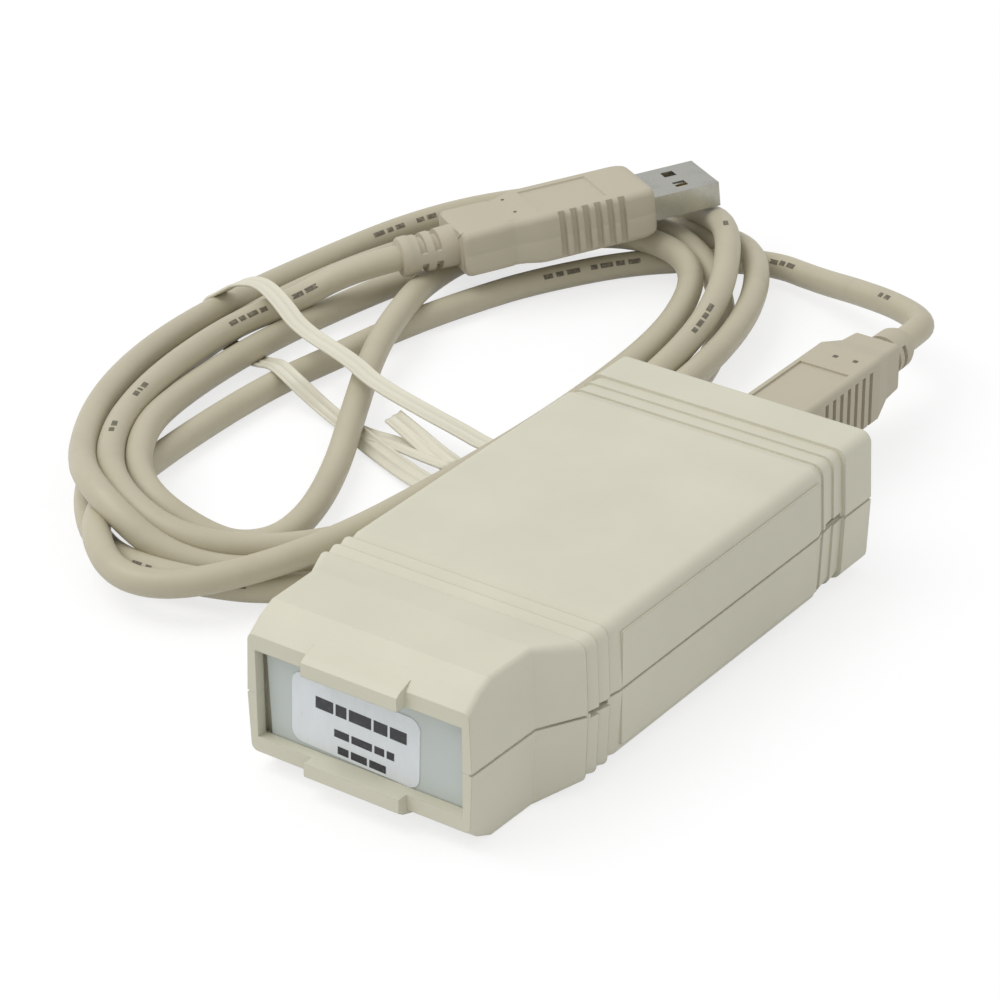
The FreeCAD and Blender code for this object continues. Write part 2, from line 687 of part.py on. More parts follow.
def pry_notches(body, tag, hook_y):
    """Notch in the rim over the other cover's hook, and the recess for its barb."""
    outer, inner = d.body_width / 2 + d.wall, cavity_half_width - d.wall / 2
    start, end = hook_y - d.notch_width / 2, hook_y + d.notch_width / 2
    sketch = sketch_on(body, "XY_Plane", tag + "_notch")
    rectangle(sketch, inner, outer, start, end)
    rectangle(sketch, -outer, -inner, start, end)
    pocket(body, sketch, d.notch_depth)
    depth = cavity_half_width + d.barb
    low = d.hook_length - 2 * d.barb - d.fit_gap
    high = d.hook_length + d.fit_gap
    catch = sketch_on(body, "XZ_Plane", tag + "_catch", -hook_y)
    rectangle(catch, inner, depth, low, high)
    rectangle(catch, -depth, -inner, low, high)
    pocket(body, catch, d.notch_width, both=True)


def snap_hooks(body, tag, hook_y):
    """Two hooks that reach past the rim into the other cover."""
    face = cavity_half_width - d.fit_gap
    back = face - d.hook_thickness
    root = d.wall + d.hook_thickness
    joint = cavity_half_width + d.wall / 4
    for side, name in ((1, "right"), (-1, "left")):
        sketch = sketch_on(body, "XZ_Plane", "%s_hook_%s" % (tag, name), -hook_y)
        points = [(back, root), (back, -d.hook_length), (face - d.barb / 2, -d.hook_length),
                  (face + d.barb, -d.hook_length + d.barb), (face, -d.hook_length + 2 * d.barb),
                  (face, d.notch_depth + d.fit_gap), (joint, d.notch_depth + d.fit_gap),
                  (joint, root)]
        outline(sketch, [(side * x, z) for x, z in points])
        pad(body, sketch, d.hook_width, both=True)


def tongues(body, tag):
    """Tongue along each side that lines up the covers."""
    face = cavity_half_width - d.fit_gap
    back = face - d.tongue_thickness
    joint = cavity_half_width + d.wall / 4
    for side, name in ((1, "right"), (-1, "left")):
        sketch = sketch_on(body, "XZ_Plane", "%s_tongue_%s" % (tag, name), -rear_band_start)
        points = [(back, 2 * d.tongue_depth), (back, -d.tongue_depth), (face, -d.tongue_depth),
                  (face, d.fit_gap), (joint, d.fit_gap), (joint, 2 * d.tongue_depth)]
        outline(sketch, [(side * x, z) for x, z in points])
        pad(body, sketch, rear_band_start - side_panel_start)


def boss_places():
    """Places of the four board screws, on the case's own axes."""
    return [(x, y) for y in (d.front_boss_y, rear_boss_y) for x in (-boss_x, boss_x)]


def screw_bosses(body, tag):
    """Bosses from the floor to the board, each with a bore for its screw."""
    under_board = parting_z - board_under_z
    rows = ((d.front_boss_y, nose_cavity_height, "front"), (rear_boss_y, cavity_height, "rear"))
    for y, floor, name in rows:
        sketch = sketch_on(body, "XY_Plane", "%s_%s_bosses" % (tag, name), under_board)
        for side in (-1, 1):
            circle(sketch, side * boss_x, y, d.boss_diameter / 2)
        pad(body, sketch, floor - under_board + d.roof / 2)
    bores = sketch_on(body, "XY_Plane", tag + "_bores", under_board)
    for x, y in boss_places():
        circle(bores, x, y, d.screw_diameter / 2)
    pocket(body, bores, d.screw_length - d.board_thickness + d.fit_gap)


def rim_rebate(body, tag):
    """Small rebate along the outer edge of the rim, which shows as a dark parting line."""
    step = d.rim_rebate
    beyond = d.body_width / 2 + d.wall
    plain = d.body_width / 2 - step
    front_low, rear_low = plain - d.front_valley, plain - d.rear_valley
    path = [(d.nose_width / 2 - step, -d.wall), (nose_back_width / 2 - step, d.shoulder_start),
            (front_low, d.shoulder_end), (front_low, body_start), (plain, body_start),
            (plain, rear_band_start), (rear_low, rear_band_start), (rear_low, rear_start),
            (plain, rear_start), (plain, d.case_length + d.wall),
            (beyond, d.case_length + d.wall), (beyond, -d.wall)]
    sketch = sketch_on(body, "XY_Plane", tag + "_rebate")
    for side in (1, -1):
        outline(sketch, [(side * x, y) for x, y in path])
    pocket(body, sketch, step / 2)


def make_cover(label, hook_y, notch_y, with_bosses):
    """One half of the case, made with its rim at z = 0 and its roof above it."""
    body = new_body(label)
    cover_outside(body, label)
    skim_nose(body, label)
    side_panels(body, label)
    nose_lug(body, label)
    hollow(body, label)
    rim_rebate(body, label)
    pry_notches(body, label, notch_y)
    snap_hooks(body, label, hook_y)
    if with_bosses:
        screw_bosses(body, label)
    else:
        tongues(body, label)
    doc.recompute()
    return body


top_cover = make_cover("top_cover", front_hook_y, rear_hook_y, False)
place(top_cover, 0, case_front, parting_z)
bottom_cover = make_cover("bottom_cover", rear_hook_y, front_hook_y, True)
bottom_cover.Placement = Placement(Vector(), Rotation(Vector(0, 1, 0), 180))
place(bottom_cover, 0, case_front, parting_z)
doc.recompute()


# Panels and label

def make_front_panel():
    """Front panel, with a rough left edge that leaves a gap beside the wall."""
    body = new_body("front_panel")
    near = d.lip_depth + d.panel_play
    high = opening_height / 2 + d.panel_bite - d.panel_play
    right = opening_width / 2 + d.panel_bite - d.panel_play
    left = -(opening_width / 2 - d.panel_cut_gap)
    sketch = sketch_on(body, "XZ_Plane", "front_panel_face", -(near + d.panel_thickness))
    outline(sketch, [(left + d.panel_cut_slant, -high), (right, -high), (right, high), (left, high)])
    pad(body, sketch, d.panel_thickness)
    place(body, 0, case_front, parting_z)


def make_label():
    """Label on the front panel, stuck on slightly turned."""
    body = new_body("front_label")
    sketch = sketch_on(body, "XZ_Plane", "label_face")
    rounded_rectangle(sketch, d.label_width / 2, d.label_height / 2, d.label_corner)
    pad(body, sketch, d.label_thickness)
    face = case_front + d.lip_depth + d.panel_play
    body.Placement = Placement(Vector(), Rotation(Vector(0, 1, 0), number(d.label_turn)))
    place(body, d.label_x, face, parting_z - d.label_drop)


def make_rear_panel():
    """Rear panel with the window for the cable socket."""
    body = new_body("rear_panel")
    near = rear_groove_start + d.panel_play
    half = rear_opening_width / 2 + d.panel_bite - d.panel_play
    high = rear_opening_height / 2 + d.panel_bite / 2 - d.panel_play
    sketch = sketch_on(body, "XZ_Plane", "rear_panel_face", -(near + d.panel_thickness))
    rectangle(sketch, -half, half, -high, high)
    window = d.socket_width / 2 + d.panel_play
    low = board_top_z - parting_z - d.panel_play
    rectangle(sketch, -window, window, low, low + d.socket_height + 2 * d.panel_play)
    pad(body, sketch, d.panel_thickness)
    place(body, 0, case_front, parting_z)


# Main board and what stands on it

TAIL_SPACING = 1.25
CONTACT_SIDES = (-1, 1)


def tail_places():
    """Places of the four contact tails of the cable socket."""
    return [(x * TAIL_SPACING, socket_back + y)
            for y in (2 * d.socket_wall + 1, 2 * d.socket_wall + 3) for x in CONTACT_SIDES]


def tab_y():
    """Place of the socket's board tabs along the case."""
    return socket_back + d.socket_depth / 2


def make_board():
    """Main board with its screw holes and the holes of the cable socket."""
    body = new_body("circuit_board")
    half = board_half_width
    sketch = sketch_on(body, "XY_Plane", "board_outline")
    rectangle(sketch, -half, half, d.board_front, board_rear)
    for x, y in boss_places():
        circle(sketch, x, y, d.screw_diameter / 2 + d.fit_gap)
    for x, y in tail_places():
        circle(sketch, x, y, d.contact_width / 2 + d.fit_gap)
    for side in CONTACT_SIDES:
        middle = side * (d.socket_width - d.socket_wall) / 2
        wide = d.socket_wall / 2 + d.panel_play
        reach = d.tab_slot_width / 2
        rectangle(sketch, middle - wide, middle + wide, tab_y() - reach, tab_y() + reach)
    pad(body, sketch, d.board_thickness)
    place(body, 0, case_front, board_under_z)


def make_screws():
    """Four board screws, each a round head with a cross and a plain shank."""
    screws = []
    for index, (x, y) in enumerate(boss_places()):
        place_y = case_front + y
        head_z = board_top_z
        head = rod("head_%d" % index, d.screw_head / 2, d.screw_head_height, x, place_y, head_z)
        shank = rod("shank_%d" % index, d.screw_diameter / 2 - d.fit_gap / 3, d.screw_length,
                    x, place_y, head_z - d.screw_length)
        screw = fuse("screw_body_%d" % index, [head, shank])
        slot_z = head_z + d.screw_head_height / 2
        slot_a = block("slot_a_%d" % index, d.screw_head * 0.6, d.screw_head / 7, d.screw_head,
                       x, place_y - d.screw_head / 14, slot_z)
        slot_b = block("slot_b_%d" % index, d.screw_head / 7, d.screw_head * 0.6, d.screw_head,
                       x, place_y - d.screw_head * 0.3, slot_z)
        cross = fuse("cross_%d" % index, [slot_a, slot_b])
        screws.append(cut("screw_%d" % index, screw, cross))
    keep(group("screw_set", screws), "board_screws")


def make_socket():
    """Cable socket: sheet shell with tabs, insulator with its tongue, four contacts."""
    back, mouth = case_front + socket_back, case_front + socket_mouth
    base, wall = board_top_z, d.socket_wall
    outer = block("socket_outer", d.socket_width, d.socket_depth, d.socket_height, 0, back, base)
    inner = block("socket_inner", d.socket_width - 2 * wall, d.socket_depth,
                  d.socket_height - 2 * wall, 0, back + wall, base + wall)
    tail_gap = block("socket_tail_gap", d.socket_width - 4 * wall, d.tail_gap_length, 2 * wall,
                     0, back + wall, base - wall / 2)
    shell = cut("socket_box", cut("socket_tube", outer, inner), tail_gap)
    tabs = []
    for side in CONTACT_SIDES:
        tabs.append(block("socket_tab_%d" % (side + 1), wall, d.socket_tab_width,
                          d.socket_tab + wall, side * (d.socket_width - wall) / 2,
                          case_front + tab_y() - d.socket_tab_width / 2, base - d.socket_tab))
    keep(fuse("socket_shell", [shell] + tabs), "usb_socket_shell")

    core = block("core_block", d.socket_width - 2 * wall, d.socket_depth - wall,
                 d.socket_height - 2 * wall, 0, back + wall, base + wall)
    room_width = d.plug_b_width + 2 * d.plug_play
    room_height = d.plug_b_height + 2 * d.plug_play
    depth = d.plug_b_insert + d.plug_play
    room = block("core_room", room_width, depth + wall, room_height, 0, mouth - depth,
                 socket_axis_z - room_height / 2)
    tongue = block("core_tongue", d.tongue_width, d.plug_b_insert, d.tongue_height, 0,
                   mouth - depth - d.plug_play, socket_axis_z - d.tongue_height / 2)
    insulator = fuse("core", [cut("core_hollow", core, room), tongue])
    keep(insulator, "usb_socket_insulator")

    pieces = []
    blade = d.plug_b_insert * 0.7
    for index, (x, y) in enumerate(tail_places()):
        up = 1 if index < 2 else -1
        face = socket_axis_z + up * d.tongue_height / 2
        low = face if up > 0 else face - d.contact_thickness
        pieces.append(block("blade_%d" % index, d.contact_width, blade, d.contact_thickness,
                            x, mouth - depth, low))
        pieces.append(block("tail_%d" % index, d.contact_width * 0.6, d.contact_width * 0.6,
                            d.socket_tab + wall, x, case_front + y - d.contact_width * 0.3,
                            base + wall - d.socket_tab - wall))
    keep(group("socket_contacts", pieces), "usb_socket_contacts")


def make_chip(label, x, y, width, length, height, leads, pitch):
    """Flat chip on the main board, with leads that come out on both long sides."""
    body = new_body(label)
    sketch = sketch_on(body, "XY_Plane", label + "_body")
    half = width / 2
    rectangle(sketch, -half, half, -length / 2, length / 2)
    pad(body, sketch, height)
    lead = sketch_on(body, "XY_Plane", label + "_lead")
    start = -(leads - 1) * pitch / 2
    reach, side = half + d.chip_lead_reach, d.chip_lead_width / 2
    rectangle(lead, -reach, reach, start - side, start + side)
    first = pad(body, lead, height * 0.4)
    if leads > 1:
        repeat(body, first, "Y_Axis", leads, pitch)
    place(body, x, case_front + y, board_top_z)


def make_radio_module():
    """Radio module: two socket strips, two pin strips, its board and the shield can."""
    middle_y = case_front + module_y + d.module_length / 2
    row_x = d.module_width / 2 - d.strip_width / 2 - d.strip_inset
    strips, headers = [], []
    for side in (-1, 1):
        strips.append(block("strip_%d" % (side + 1), d.strip_width, d.strip_length,
                            d.strip_height, side * row_x, middle_y - d.strip_length / 2,
                            board_top_z))
        headers.append(block("header_%d" % (side + 1), d.strip_width - 2 * d.header_step, d.strip_length,
                             d.header_height, side * row_x, middle_y - d.strip_length / 2,
                             board_top_z + d.strip_height))
    keep(group("strips", strips), "module_sockets")
    keep(group("headers", headers), "module_pin_strips")

    board = new_body("radio_module_board")
    half = d.module_width / 2
    front = module_y
    sketch = sketch_on(board, "XY_Plane", "module_outline")
    outline(sketch, [(-half, front), (-half / 2, front - d.module_nose),
                     (half / 2, front - d.module_nose), (half, front),
                     (half, front + d.module_length), (-half, front + d.module_length)])
    pad(board, sketch, d.module_thickness)
    place(board, 0, case_front, module_under_z)

    can_z = module_under_z + d.module_thickness
    can_width = d.module_width - 2 * d.can_side_gap
    can_length = d.module_length - 2 * d.can_end_gap
    can_y = middle_y - can_length / 2 + d.can_shift
    outer = block("can_outer", can_width, can_length, d.can_height, 0, can_y, can_z)
    inner = block("can_inner", can_width - 2 * d.can_wall, can_length - 2 * d.can_wall,
                  d.can_height, 0, can_y + d.can_wall, can_z - d.can_wall)
    keep(cut("can", outer, inner), "radio_shield_can")


def make_antenna():
    """Antenna wire that rises from the module and bends over towards the nose."""
    body = new_body("antenna_wire")
    bend = 2 * d.wire_diameter
    start_y = module_y - d.module_nose / 2
    reach = start_y - cavity_front - d.wire_gap
    path = sketch_on(body, "YZ_Plane", "antenna_path")
    up = line(path, (0, 0), (0, number(d.wire_rise - bend)))
    turn = arc(path, (-number(bend), number(d.wire_rise - bend)), number(bend), 0, 90)
    along = line(path, (-number(bend), number(d.wire_rise)),
                 (-number(reach), number(d.wire_rise)))
    rule = Sketcher.Constraint
    path.addConstraint([rule("Coincident", up, 1, -1, 1), rule("Vertical", up),
                        rule("Tangent", up, 2, turn, 1), rule("Tangent", turn, 2, along, 1),
                        rule("Horizontal", along)])
    measured(path, rule("Radius", turn, number(bend)), bend)
    pin(path, along, 2, -reach, d.wire_rise)
    ring = sketch_on(body, "XY_Plane", "antenna_ring")
    circle(ring, 0, 0, d.wire_diameter / 2)
    pipe = body.newObject("PartDesign::AdditivePipe", "antenna_sweep")
    pipe.Profile = ring
    pipe.Spine = (path, [""])
    place(body, 0, case_front + start_y, module_under_z + d.module_thickness)


def make_crystal():
    """Crystal in an oval metal can."""
    body = new_body("crystal")
    sketch = sketch_on(body, "XY_Plane", "crystal_outline")
    rounded_rectangle(sketch, d.crystal_length / 2, d.crystal_width / 2, d.crystal_width / 2 - 0.1)
    pad(body, sketch, d.crystal_height)
    place(body, -d.crystal_x, case_front + rear_boss_y - d.crystal_gap, board_top_z)


def make_capacitors():
    """Two round capacitors beside the cable socket."""
    middle_y = case_front + board_rear - d.capacitor_gap
    cans = [rod("can_%d" % index, d.capacitor_diameter / 2, d.capacitor_height,
                side * d.capacitor_x, middle_y, board_top_z)
            for index, side in enumerate((-1, 1))]
    keep(group("capacitor_pair", cans), "round_capacitors")


def make_small_parts(label, x, rows, height):
    """Small square-ended parts soldered flat on the main board, in a row on each side."""
    parts = [block("%s_%d_%d" % (label, side + 1, index), d.chip_part_width, d.chip_part_length,
                   height, side * x, case_front + y, board_top_z)
             for side in (-1, 1) for index, y in enumerate(rows)]
    keep(group(label + "_set", parts), label)


# Square plug in the cable socket

def plug_b_shell_profile(sketch, half_width, half_height, corner):
    """Outline of the square plug's shell, with its two upper corners cut off."""
    outline(sketch, [(-half_width, -half_height), (half_width, -half_height),
                     (half_width, half_height - corner), (half_width - corner, half_height),
                     (corner - half_width, half_height), (-half_width, half_height - corner)])


def make_plug_b_shell():
    """Sheet shell of the square plug, from inside the moulding to its mouth."""
    body = new_body("plug_b_shell")
    half, high = d.plug_b_width / 2, d.plug_b_height / 2
    corner = d.plug_b_height / 4
    sketch = sketch_on(body, "XZ_Plane", "plug_b_sheet", -d.shell_root)
    plug_b_shell_profile(sketch, half, high, corner)
    plug_b_shell_profile(sketch, half - d.shell_wall, high - d.shell_wall,
                         corner - d.shell_wall / 2)
    pad(body, sketch, plug_b_length)
    place(body, 0, plug_b_face_y, socket_axis_z)


def make_plug_b_insulator():
    """Moulded insert of the square plug, open in the middle for the socket's tongue."""
    body = new_body("plug_b_insulator")
    half, high = d.plug_b_width / 2 - d.shell_wall, d.plug_b_height / 2 - d.shell_wall
    corner = d.plug_b_height / 4 - d.shell_wall / 2
    sketch = sketch_on(body, "XZ_Plane", "plug_b_insert", -d.shell_root)
    plug_b_shell_profile(sketch, half, high, corner)
    pad(body, sketch, plug_b_length)
    slot = sketch_on(body, "XZ_Plane", "plug_b_slot", plug_b_length - d.shell_root)
    wide = d.tongue_width / 2 + d.fit_gap
    tall = d.tongue_height / 2 + d.contact_thickness + d.fit_gap
    rectangle(slot, -wide, wide, -tall, tall)
    pocket(body, slot, d.plug_b_insert + d.plug_play, forward=False)
    place(body, 0, plug_b_face_y, socket_axis_z)


def grip_grooves(body, tag, half_width, low, high, first, count, step):
    """Row of grooves across each side of a moulding, where the fingers hold it."""
    for side, name in ((1, "right"), (-1, "left")):
        sketch = sketch_on(body, "YZ_Plane", "%s_groove_%s" % (tag, name), side * half_width)
        rectangle(sketch, first, first + d.groove_width, low, high)
        groove = pocket(body, sketch, d.groove_depth, forward=side < 0)
        repeat(body, groove, "Y_Axis", count, d.groove_pitch, backward=step < 0)


def strain_relief(body, tag, start, length, step):
    """Tapered sleeve with half-round slots that face up and down in turn."""
    radius, core = d.relief_diameter / 2, d.relief_core / 2
    end = start + step * length
    profile = sketch_on(body, "YZ_Plane", tag + "_sleeve")
    outline(profile, [(start - step * d.groove_width, 0), (start - step * d.groove_width, radius),
                      (end - step * d.groove_width, radius * 0.95), (end, radius * 0.85), (end, 0)])
    sleeve = body.newObject("PartDesign::Revolution", tag + "_sleeve_turned")
    sleeve.Profile = profile
    axis = [part for part in body.Origin.OriginFeatures if part.Role == "Y_Axis"][0]
    sleeve.ReferenceAxis = (axis, [""])
    sleeve.Angle = 360
    slots = int((number(length) - 1.5) / number(d.slot_pitch))
    for index in range(slots):
        near = start + step * (d.slot_width + index * d.slot_pitch)
        far = near + step * d.slot_width
        up = 1 if index % 2 == 0 else -1
        sketch = sketch_on(body, "YZ_Plane", "%s_slot_%d" % (tag, index))
        outline(sketch, [(near, up * core), (far, up * core), (far, up * (radius + 1)),
                         (near, up * (radius + 1))])
        slot = body.newObject("PartDesign::Groove", "%s_slot_turned_%d" % (tag, index))
        slot.Profile = sketch
        slot.ReferenceAxis = (axis, [""])
        slot.Angle = 250
        slot.Midplane = True
        body.Tip = slot


def make_plug_b_body():
    """Moulded grip and strain relief of the square plug, in one piece."""
    body = new_body("plug_b_body")
    half, high = d.grip_b_width / 2, d.grip_b_height / 2
    corner = d.edge_radius / 2
    sections = []
    grip = sketch_on(body, "XZ_Plane", "grip_b_grip")
    rounded_rectangle(grip, half, high, corner)
    pad(body, grip, d.grip_b_length, backward=True)
    stations = [(d.grip_b_length, 0),
                (d.grip_b_length + d.grip_b_neck, d.grip_b_waist),
                (grip_b_end, d.grip_b_waist * 1.2)]
    for index, (y, narrowing) in enumerate(stations):
        sketch = sketch_on(body, "XZ_Plane", "grip_b_section_%d" % index, -y)
        rounded_rectangle(sketch, half - narrowing, high - narrowing, corner)
        sections.append(sketch)
    loft(body, "grip_b_form", sections)
    field = sketch_on(body, "XY_Plane", "grip_b_field", high)
    wide = half - d.edge_radius + 0.6
    rectangle(field, -wide, wide, d.groove_pitch, 2 * d.grip_b_length / 3 + d.groove_pitch)
    pocket(body, field, d.field_depth, forward=False)
    seat = sketch_on(body, "XZ_Plane", "grip_b_seat")
    plug_b_shell_profile(seat, d.plug_b_width / 2, d.plug_b_height / 2, d.plug_b_height / 4)
    pocket(body, seat, d.shell_root, forward=False)
    last = d.grip_b_length - 1.5 * d.groove_pitch - (GROOVES_B - 1) * d.groove_pitch
    grip_grooves(body, "grip_b", half, -high - 1, high - d.grip_lip, last, GROOVES_B, 1)
    strain_relief(body, "grip_b", grip_b_end, d.relief_b_length, 1)
    place(body, 0, plug_b_face_y, socket_axis_z)


# Flat plug at the free end of the lead

def plug_a_rotation():
    """Turn of the flat plug: x across it, y towards its tip, z out of its top."""
    yaw = math.radians(number(d.plug_a_yaw))
    pitch = math.radians(number(d.plug_a_pitch))
    roll = math.radians(number(d.plug_a_roll))
    along = Vector(math.sin(yaw) * math.cos(pitch), math.cos(yaw) * math.cos(pitch),
                   math.sin(pitch))
    level = Vector(math.cos(yaw), -math.sin(yaw), 0)
    lift = level.cross(along)
    across = level * math.cos(roll) + lift * math.sin(roll)
    return Rotation(across, along, across.cross(along), "XYZ")


def lay_plug_a(body):
    """Put a piece of the flat plug where the plug lies."""
    body.Placement = Placement(Vector(), plug_a_rotation())
    place(body, d.plug_a_x, d.plug_a_y, d.plug_a_z)


def make_plug_a_shell():
    """Folded sheet shell of the flat plug, with two windows above and below."""
    body = new_body("plug_a_shell")
    half, high = d.plug_a_width / 2, d.plug_a_height / 2
    sketch = sketch_on(body, "XZ_Plane", "plug_a_sheet", d.plug_a_root)
    rectangle(sketch, -half, half, -high, high)
    rectangle(sketch, d.shell_wall - half, half - d.shell_wall,
              d.shell_wall - high, high - d.shell_wall)
    pad(body, sketch, d.plug_a_root + d.plug_a_reach, backward=True)
    windows = sketch_on(body, "XY_Plane", "plug_a_windows")
    for side in (-1, 1):
        middle = side * d.window_x
        rectangle(windows, middle - d.window_width / 2, middle + d.window_width / 2,
                  d.window_y - d.window_length / 2, d.window_y + d.window_length / 2)
    pocket(body, windows, d.plug_a_height + 2, both=True)
    lay_plug_a(body)


def make_plug_a_insulator():
    """Plastic bar in the lower half of the flat plug's shell."""
    body = new_body("plug_a_insulator")
    half, high = d.plug_a_width / 2 - d.shell_wall, d.plug_a_height / 2 - d.shell_wall
    sketch = sketch_on(body, "XZ_Plane", "plug_a_bar", d.plug_a_root)
    rectangle(sketch, -half, half, -high, -high + d.bar_height)
    pad(body, sketch, d.plug_a_root + d.plug_a_reach - 2 * d.shell_wall, backward=True)
    lay_plug_a(body)


def make_plug_a_contacts():
    """Four flat contacts on the bar."""
    body_names = []
    high = d.plug_a_height / 2 - d.shell_wall
    for index in range(4):
        body = doc.addObject("Part::Box", "plug_a_contact_%d" % index)
        bind(body, "Length", d.contact_width)
        bind(body, "Width", d.plug_a_reach * 0.75)
        bind(body, "Height", d.contact_thickness)
        place(body, (index - 1.5) * d.contact_pitch - d.contact_width / 2,
              d.plug_a_reach * 0.15, -high + d.bar_height)
        body_names.append(body)
    contacts = keep(group("plug_a_contact_set", body_names), "plug_a_contacts")
    lay_plug_a(contacts)


def make_plug_a_body():
    """Moulded grip and strain relief of the flat plug, in one piece."""
    body = new_body("plug_a_body")
    half, high = d.grip_a_width / 2, d.grip_a_height / 2
    corner = d.edge_radius / 2
    front = []
    for index, (y, narrowing) in enumerate(((0, d.grip_a_chamfer_step), (d.grip_a_chamfer, 0))):
        sketch = sketch_on(body, "XZ_Plane", "grip_a_front_%d" % index, y)
        rounded_rectangle(sketch, half - narrowing, high - narrowing / 3, corner)
        front.append(sketch)
    loft(body, "grip_a_front", front)
    grip = sketch_on(body, "XZ_Plane", "grip_a_grip", d.grip_a_chamfer)
    rounded_rectangle(grip, half, high, corner)
    pad(body, grip, d.grip_a_length - d.grip_a_chamfer)
    tail = sketch_on(body, "XZ_Plane", "grip_a_rear", d.grip_a_length)
    rounded_rectangle(tail, half - d.grip_a_step, high - d.grip_a_step / 2, corner)
    pad(body, tail, d.grip_a_tail)
    field = sketch_on(body, "XY_Plane", "grip_a_field", high)
    wide = half - d.edge_radius - 0.5
    rectangle(field, -wide, wide, 1 - d.grip_a_length, -d.grip_a_length / 2)
    pocket(body, field, d.field_depth, forward=False)
    seat = sketch_on(body, "XZ_Plane", "grip_a_seat")
    rectangle(seat, -d.plug_a_width / 2, d.plug_a_width / 2,
              -d.plug_a_height / 2, d.plug_a_height / 2)
    pocket(body, seat, d.plug_a_root, forward=True)
    grip_grooves(body, "grip_a", half, -high - 1, high - 0.5, -d.grip_a_groove_start, GROOVES_A, -1)
    strain_relief(body, "grip_a", -(d.grip_a_length + d.grip_a_tail), d.relief_a_length, -1)
    lay_plug_a(body)


# Lead. Its points are places on the table, chosen to follow its lie.

def corner_arc(before, corner, after):
    """Arc that rounds one corner of a route, as large as its two runs allow, and its radius."""
    back, ahead = before - corner, after - corner
    turn = math.pi - back.getAngle(ahead)
    run = min(back.Length, ahead.Length)
    reach = 0.45 * run
    radius = reach / math.tan(turn / 2)
    enter = corner + back * (reach / back.Length)
    leave = corner + ahead * (reach / ahead.Length)
    inward = (back * (1 / back.Length) + ahead * (1 / ahead.Length)).normalize()
    crown = corner + inward * (radius / math.cos(turn / 2) - radius)
    return Part.Arc(enter, crown, leave).toShape(), enter, leave, radius


def tube_path(points):
    """Straight runs joined by tangent arcs, and the radius of each arc."""
    edges, radii = [], []
    start = points[0]
    for before, corner, after in zip(points, points[1:], points[2:]):
        bend, enter, leave, radius = corner_arc(before, corner, after)
        edges += [Part.LineSegment(start, enter).toShape(), bend]
        radii.append(radius)
        start = leave
    edges.append(Part.LineSegment(start, points[-1]).toShape())
    return Part.Wire(edges), radii


def tube(points, diameter):
    """Round tube along a path; tells its radii and compares its volume."""
    path, radii = tube_path(points)
    first = (points[1] - points[0]).normalize()
    ring = Part.Wire(Part.Circle(points[0], first, diameter / 2).toShape())
    solid = path.makePipeShell([ring], True, True)
    expected = math.pi * diameter ** 2 / 4 * path.Length
    print("tube: length %.1f, volume ratio %.4f, radii %s"
          % (path.Length, solid.Volume / expected, " ".join("%.1f" % r for r in radii)))
    return solid


def add_solid(label, shape):
    """Piece whose shape is made here, with its place in the shape."""
    piece = doc.addObject("Part::Feature", label)
    piece.Shape = shape
    return keep(piece, label)


def plug_a_point(x, y, z):
    """Place of a point of the flat plug, from the plug's own axes."""
    base = Vector(number(d.plug_a_x), number(d.plug_a_y), number(d.plug_a_z))
    return base + plug_a_rotation().multVec(Vector(x, y, z))


def closed_outline(points, height):
    """Flat closed outline round points of the table: straight runs joined by tangent arcs."""
    corners = [Vector(x, y, height) for x, y in points]
    bends = []
    for index, corner in enumerate(corners):
        bends.append(corner_arc(corners[index - 1], corner, corners[(index + 1) % len(corners)]))
    edges = []
    for index, (bend, enter, leave, radius) in enumerate(bends):
        edges += [bend, Part.LineSegment(leave, bends[(index + 1) % len(bends)][1]).toShape()]
    return Part.Wire(edges)


COIL_OUTSIDE = [(-121.7, 62), (-116.5, 108), (-97, 141), (-77, 152.5), (-53, 143.5), (-37, 118),
                (-29.5, 78), (-29.5, 34), (-38, -4), (-54, -26), (-80, -21), (-106, 1), (-119.5, 32)]
COIL_INSIDE = [(-86.5, 50), (-83, 88), (-70, 112), (-57, 114.5), (-46.5, 95), (-43.5, 55),
               (-47, 18), (-56, -5), (-75, -5), (-85, 18)]
LEAD_POINTS = [(-0.9, 110.3, 12.1), (-8.5, 115.4, 11.0), (-20, 121.4, 8.3), (-32, 127.8, 4.7),
               (-46.5, 133.4, 2.6)]
BIGHT_POINTS = [(-53.6, -1.5, 2.4), (-53.2, 8, 2.9), (-60.5, 24, 3.3), (-70.5, 42.5, 3.3),
                (-79.5, 60, 3.3), (-84.6, 72, 2.8)]
TAIL_POINTS = [(-101.5, 65.5, 6.2)]
TIE_POINTS = [(-114.5, 63.5), (-35.5, 42)]


def coil_solid():
    """Room that the turns of the coil fill: a low oval ring."""
    height = number(d.coil_height)
    outside = Part.Face(closed_outline(COIL_OUTSIDE, 0)).extrude(Vector(0, 0, height))
    inside = Part.Face(closed_outline(COIL_INSIDE, -1)).extrude(Vector(0, 0, height + 2))
    return outside.cut(inside)


def end_notch(end, inner, diameter):
    """Flat-ended notch that a tube's end stands in, open along the tube and upwards."""
    along = (inner - end).normalize()
    across = Vector(0, 0, 1).cross(along).normalize()
    upright = along.cross(across)
    half = 0.55 * diameter
    reach = 6 * diameter
    notch = Part.makeBox(reach, 2 * half, half + reach, Vector(0, -half, -half))
    notch.Placement = Placement(end, Rotation(along, across, upright, "XYZ"))
    return notch


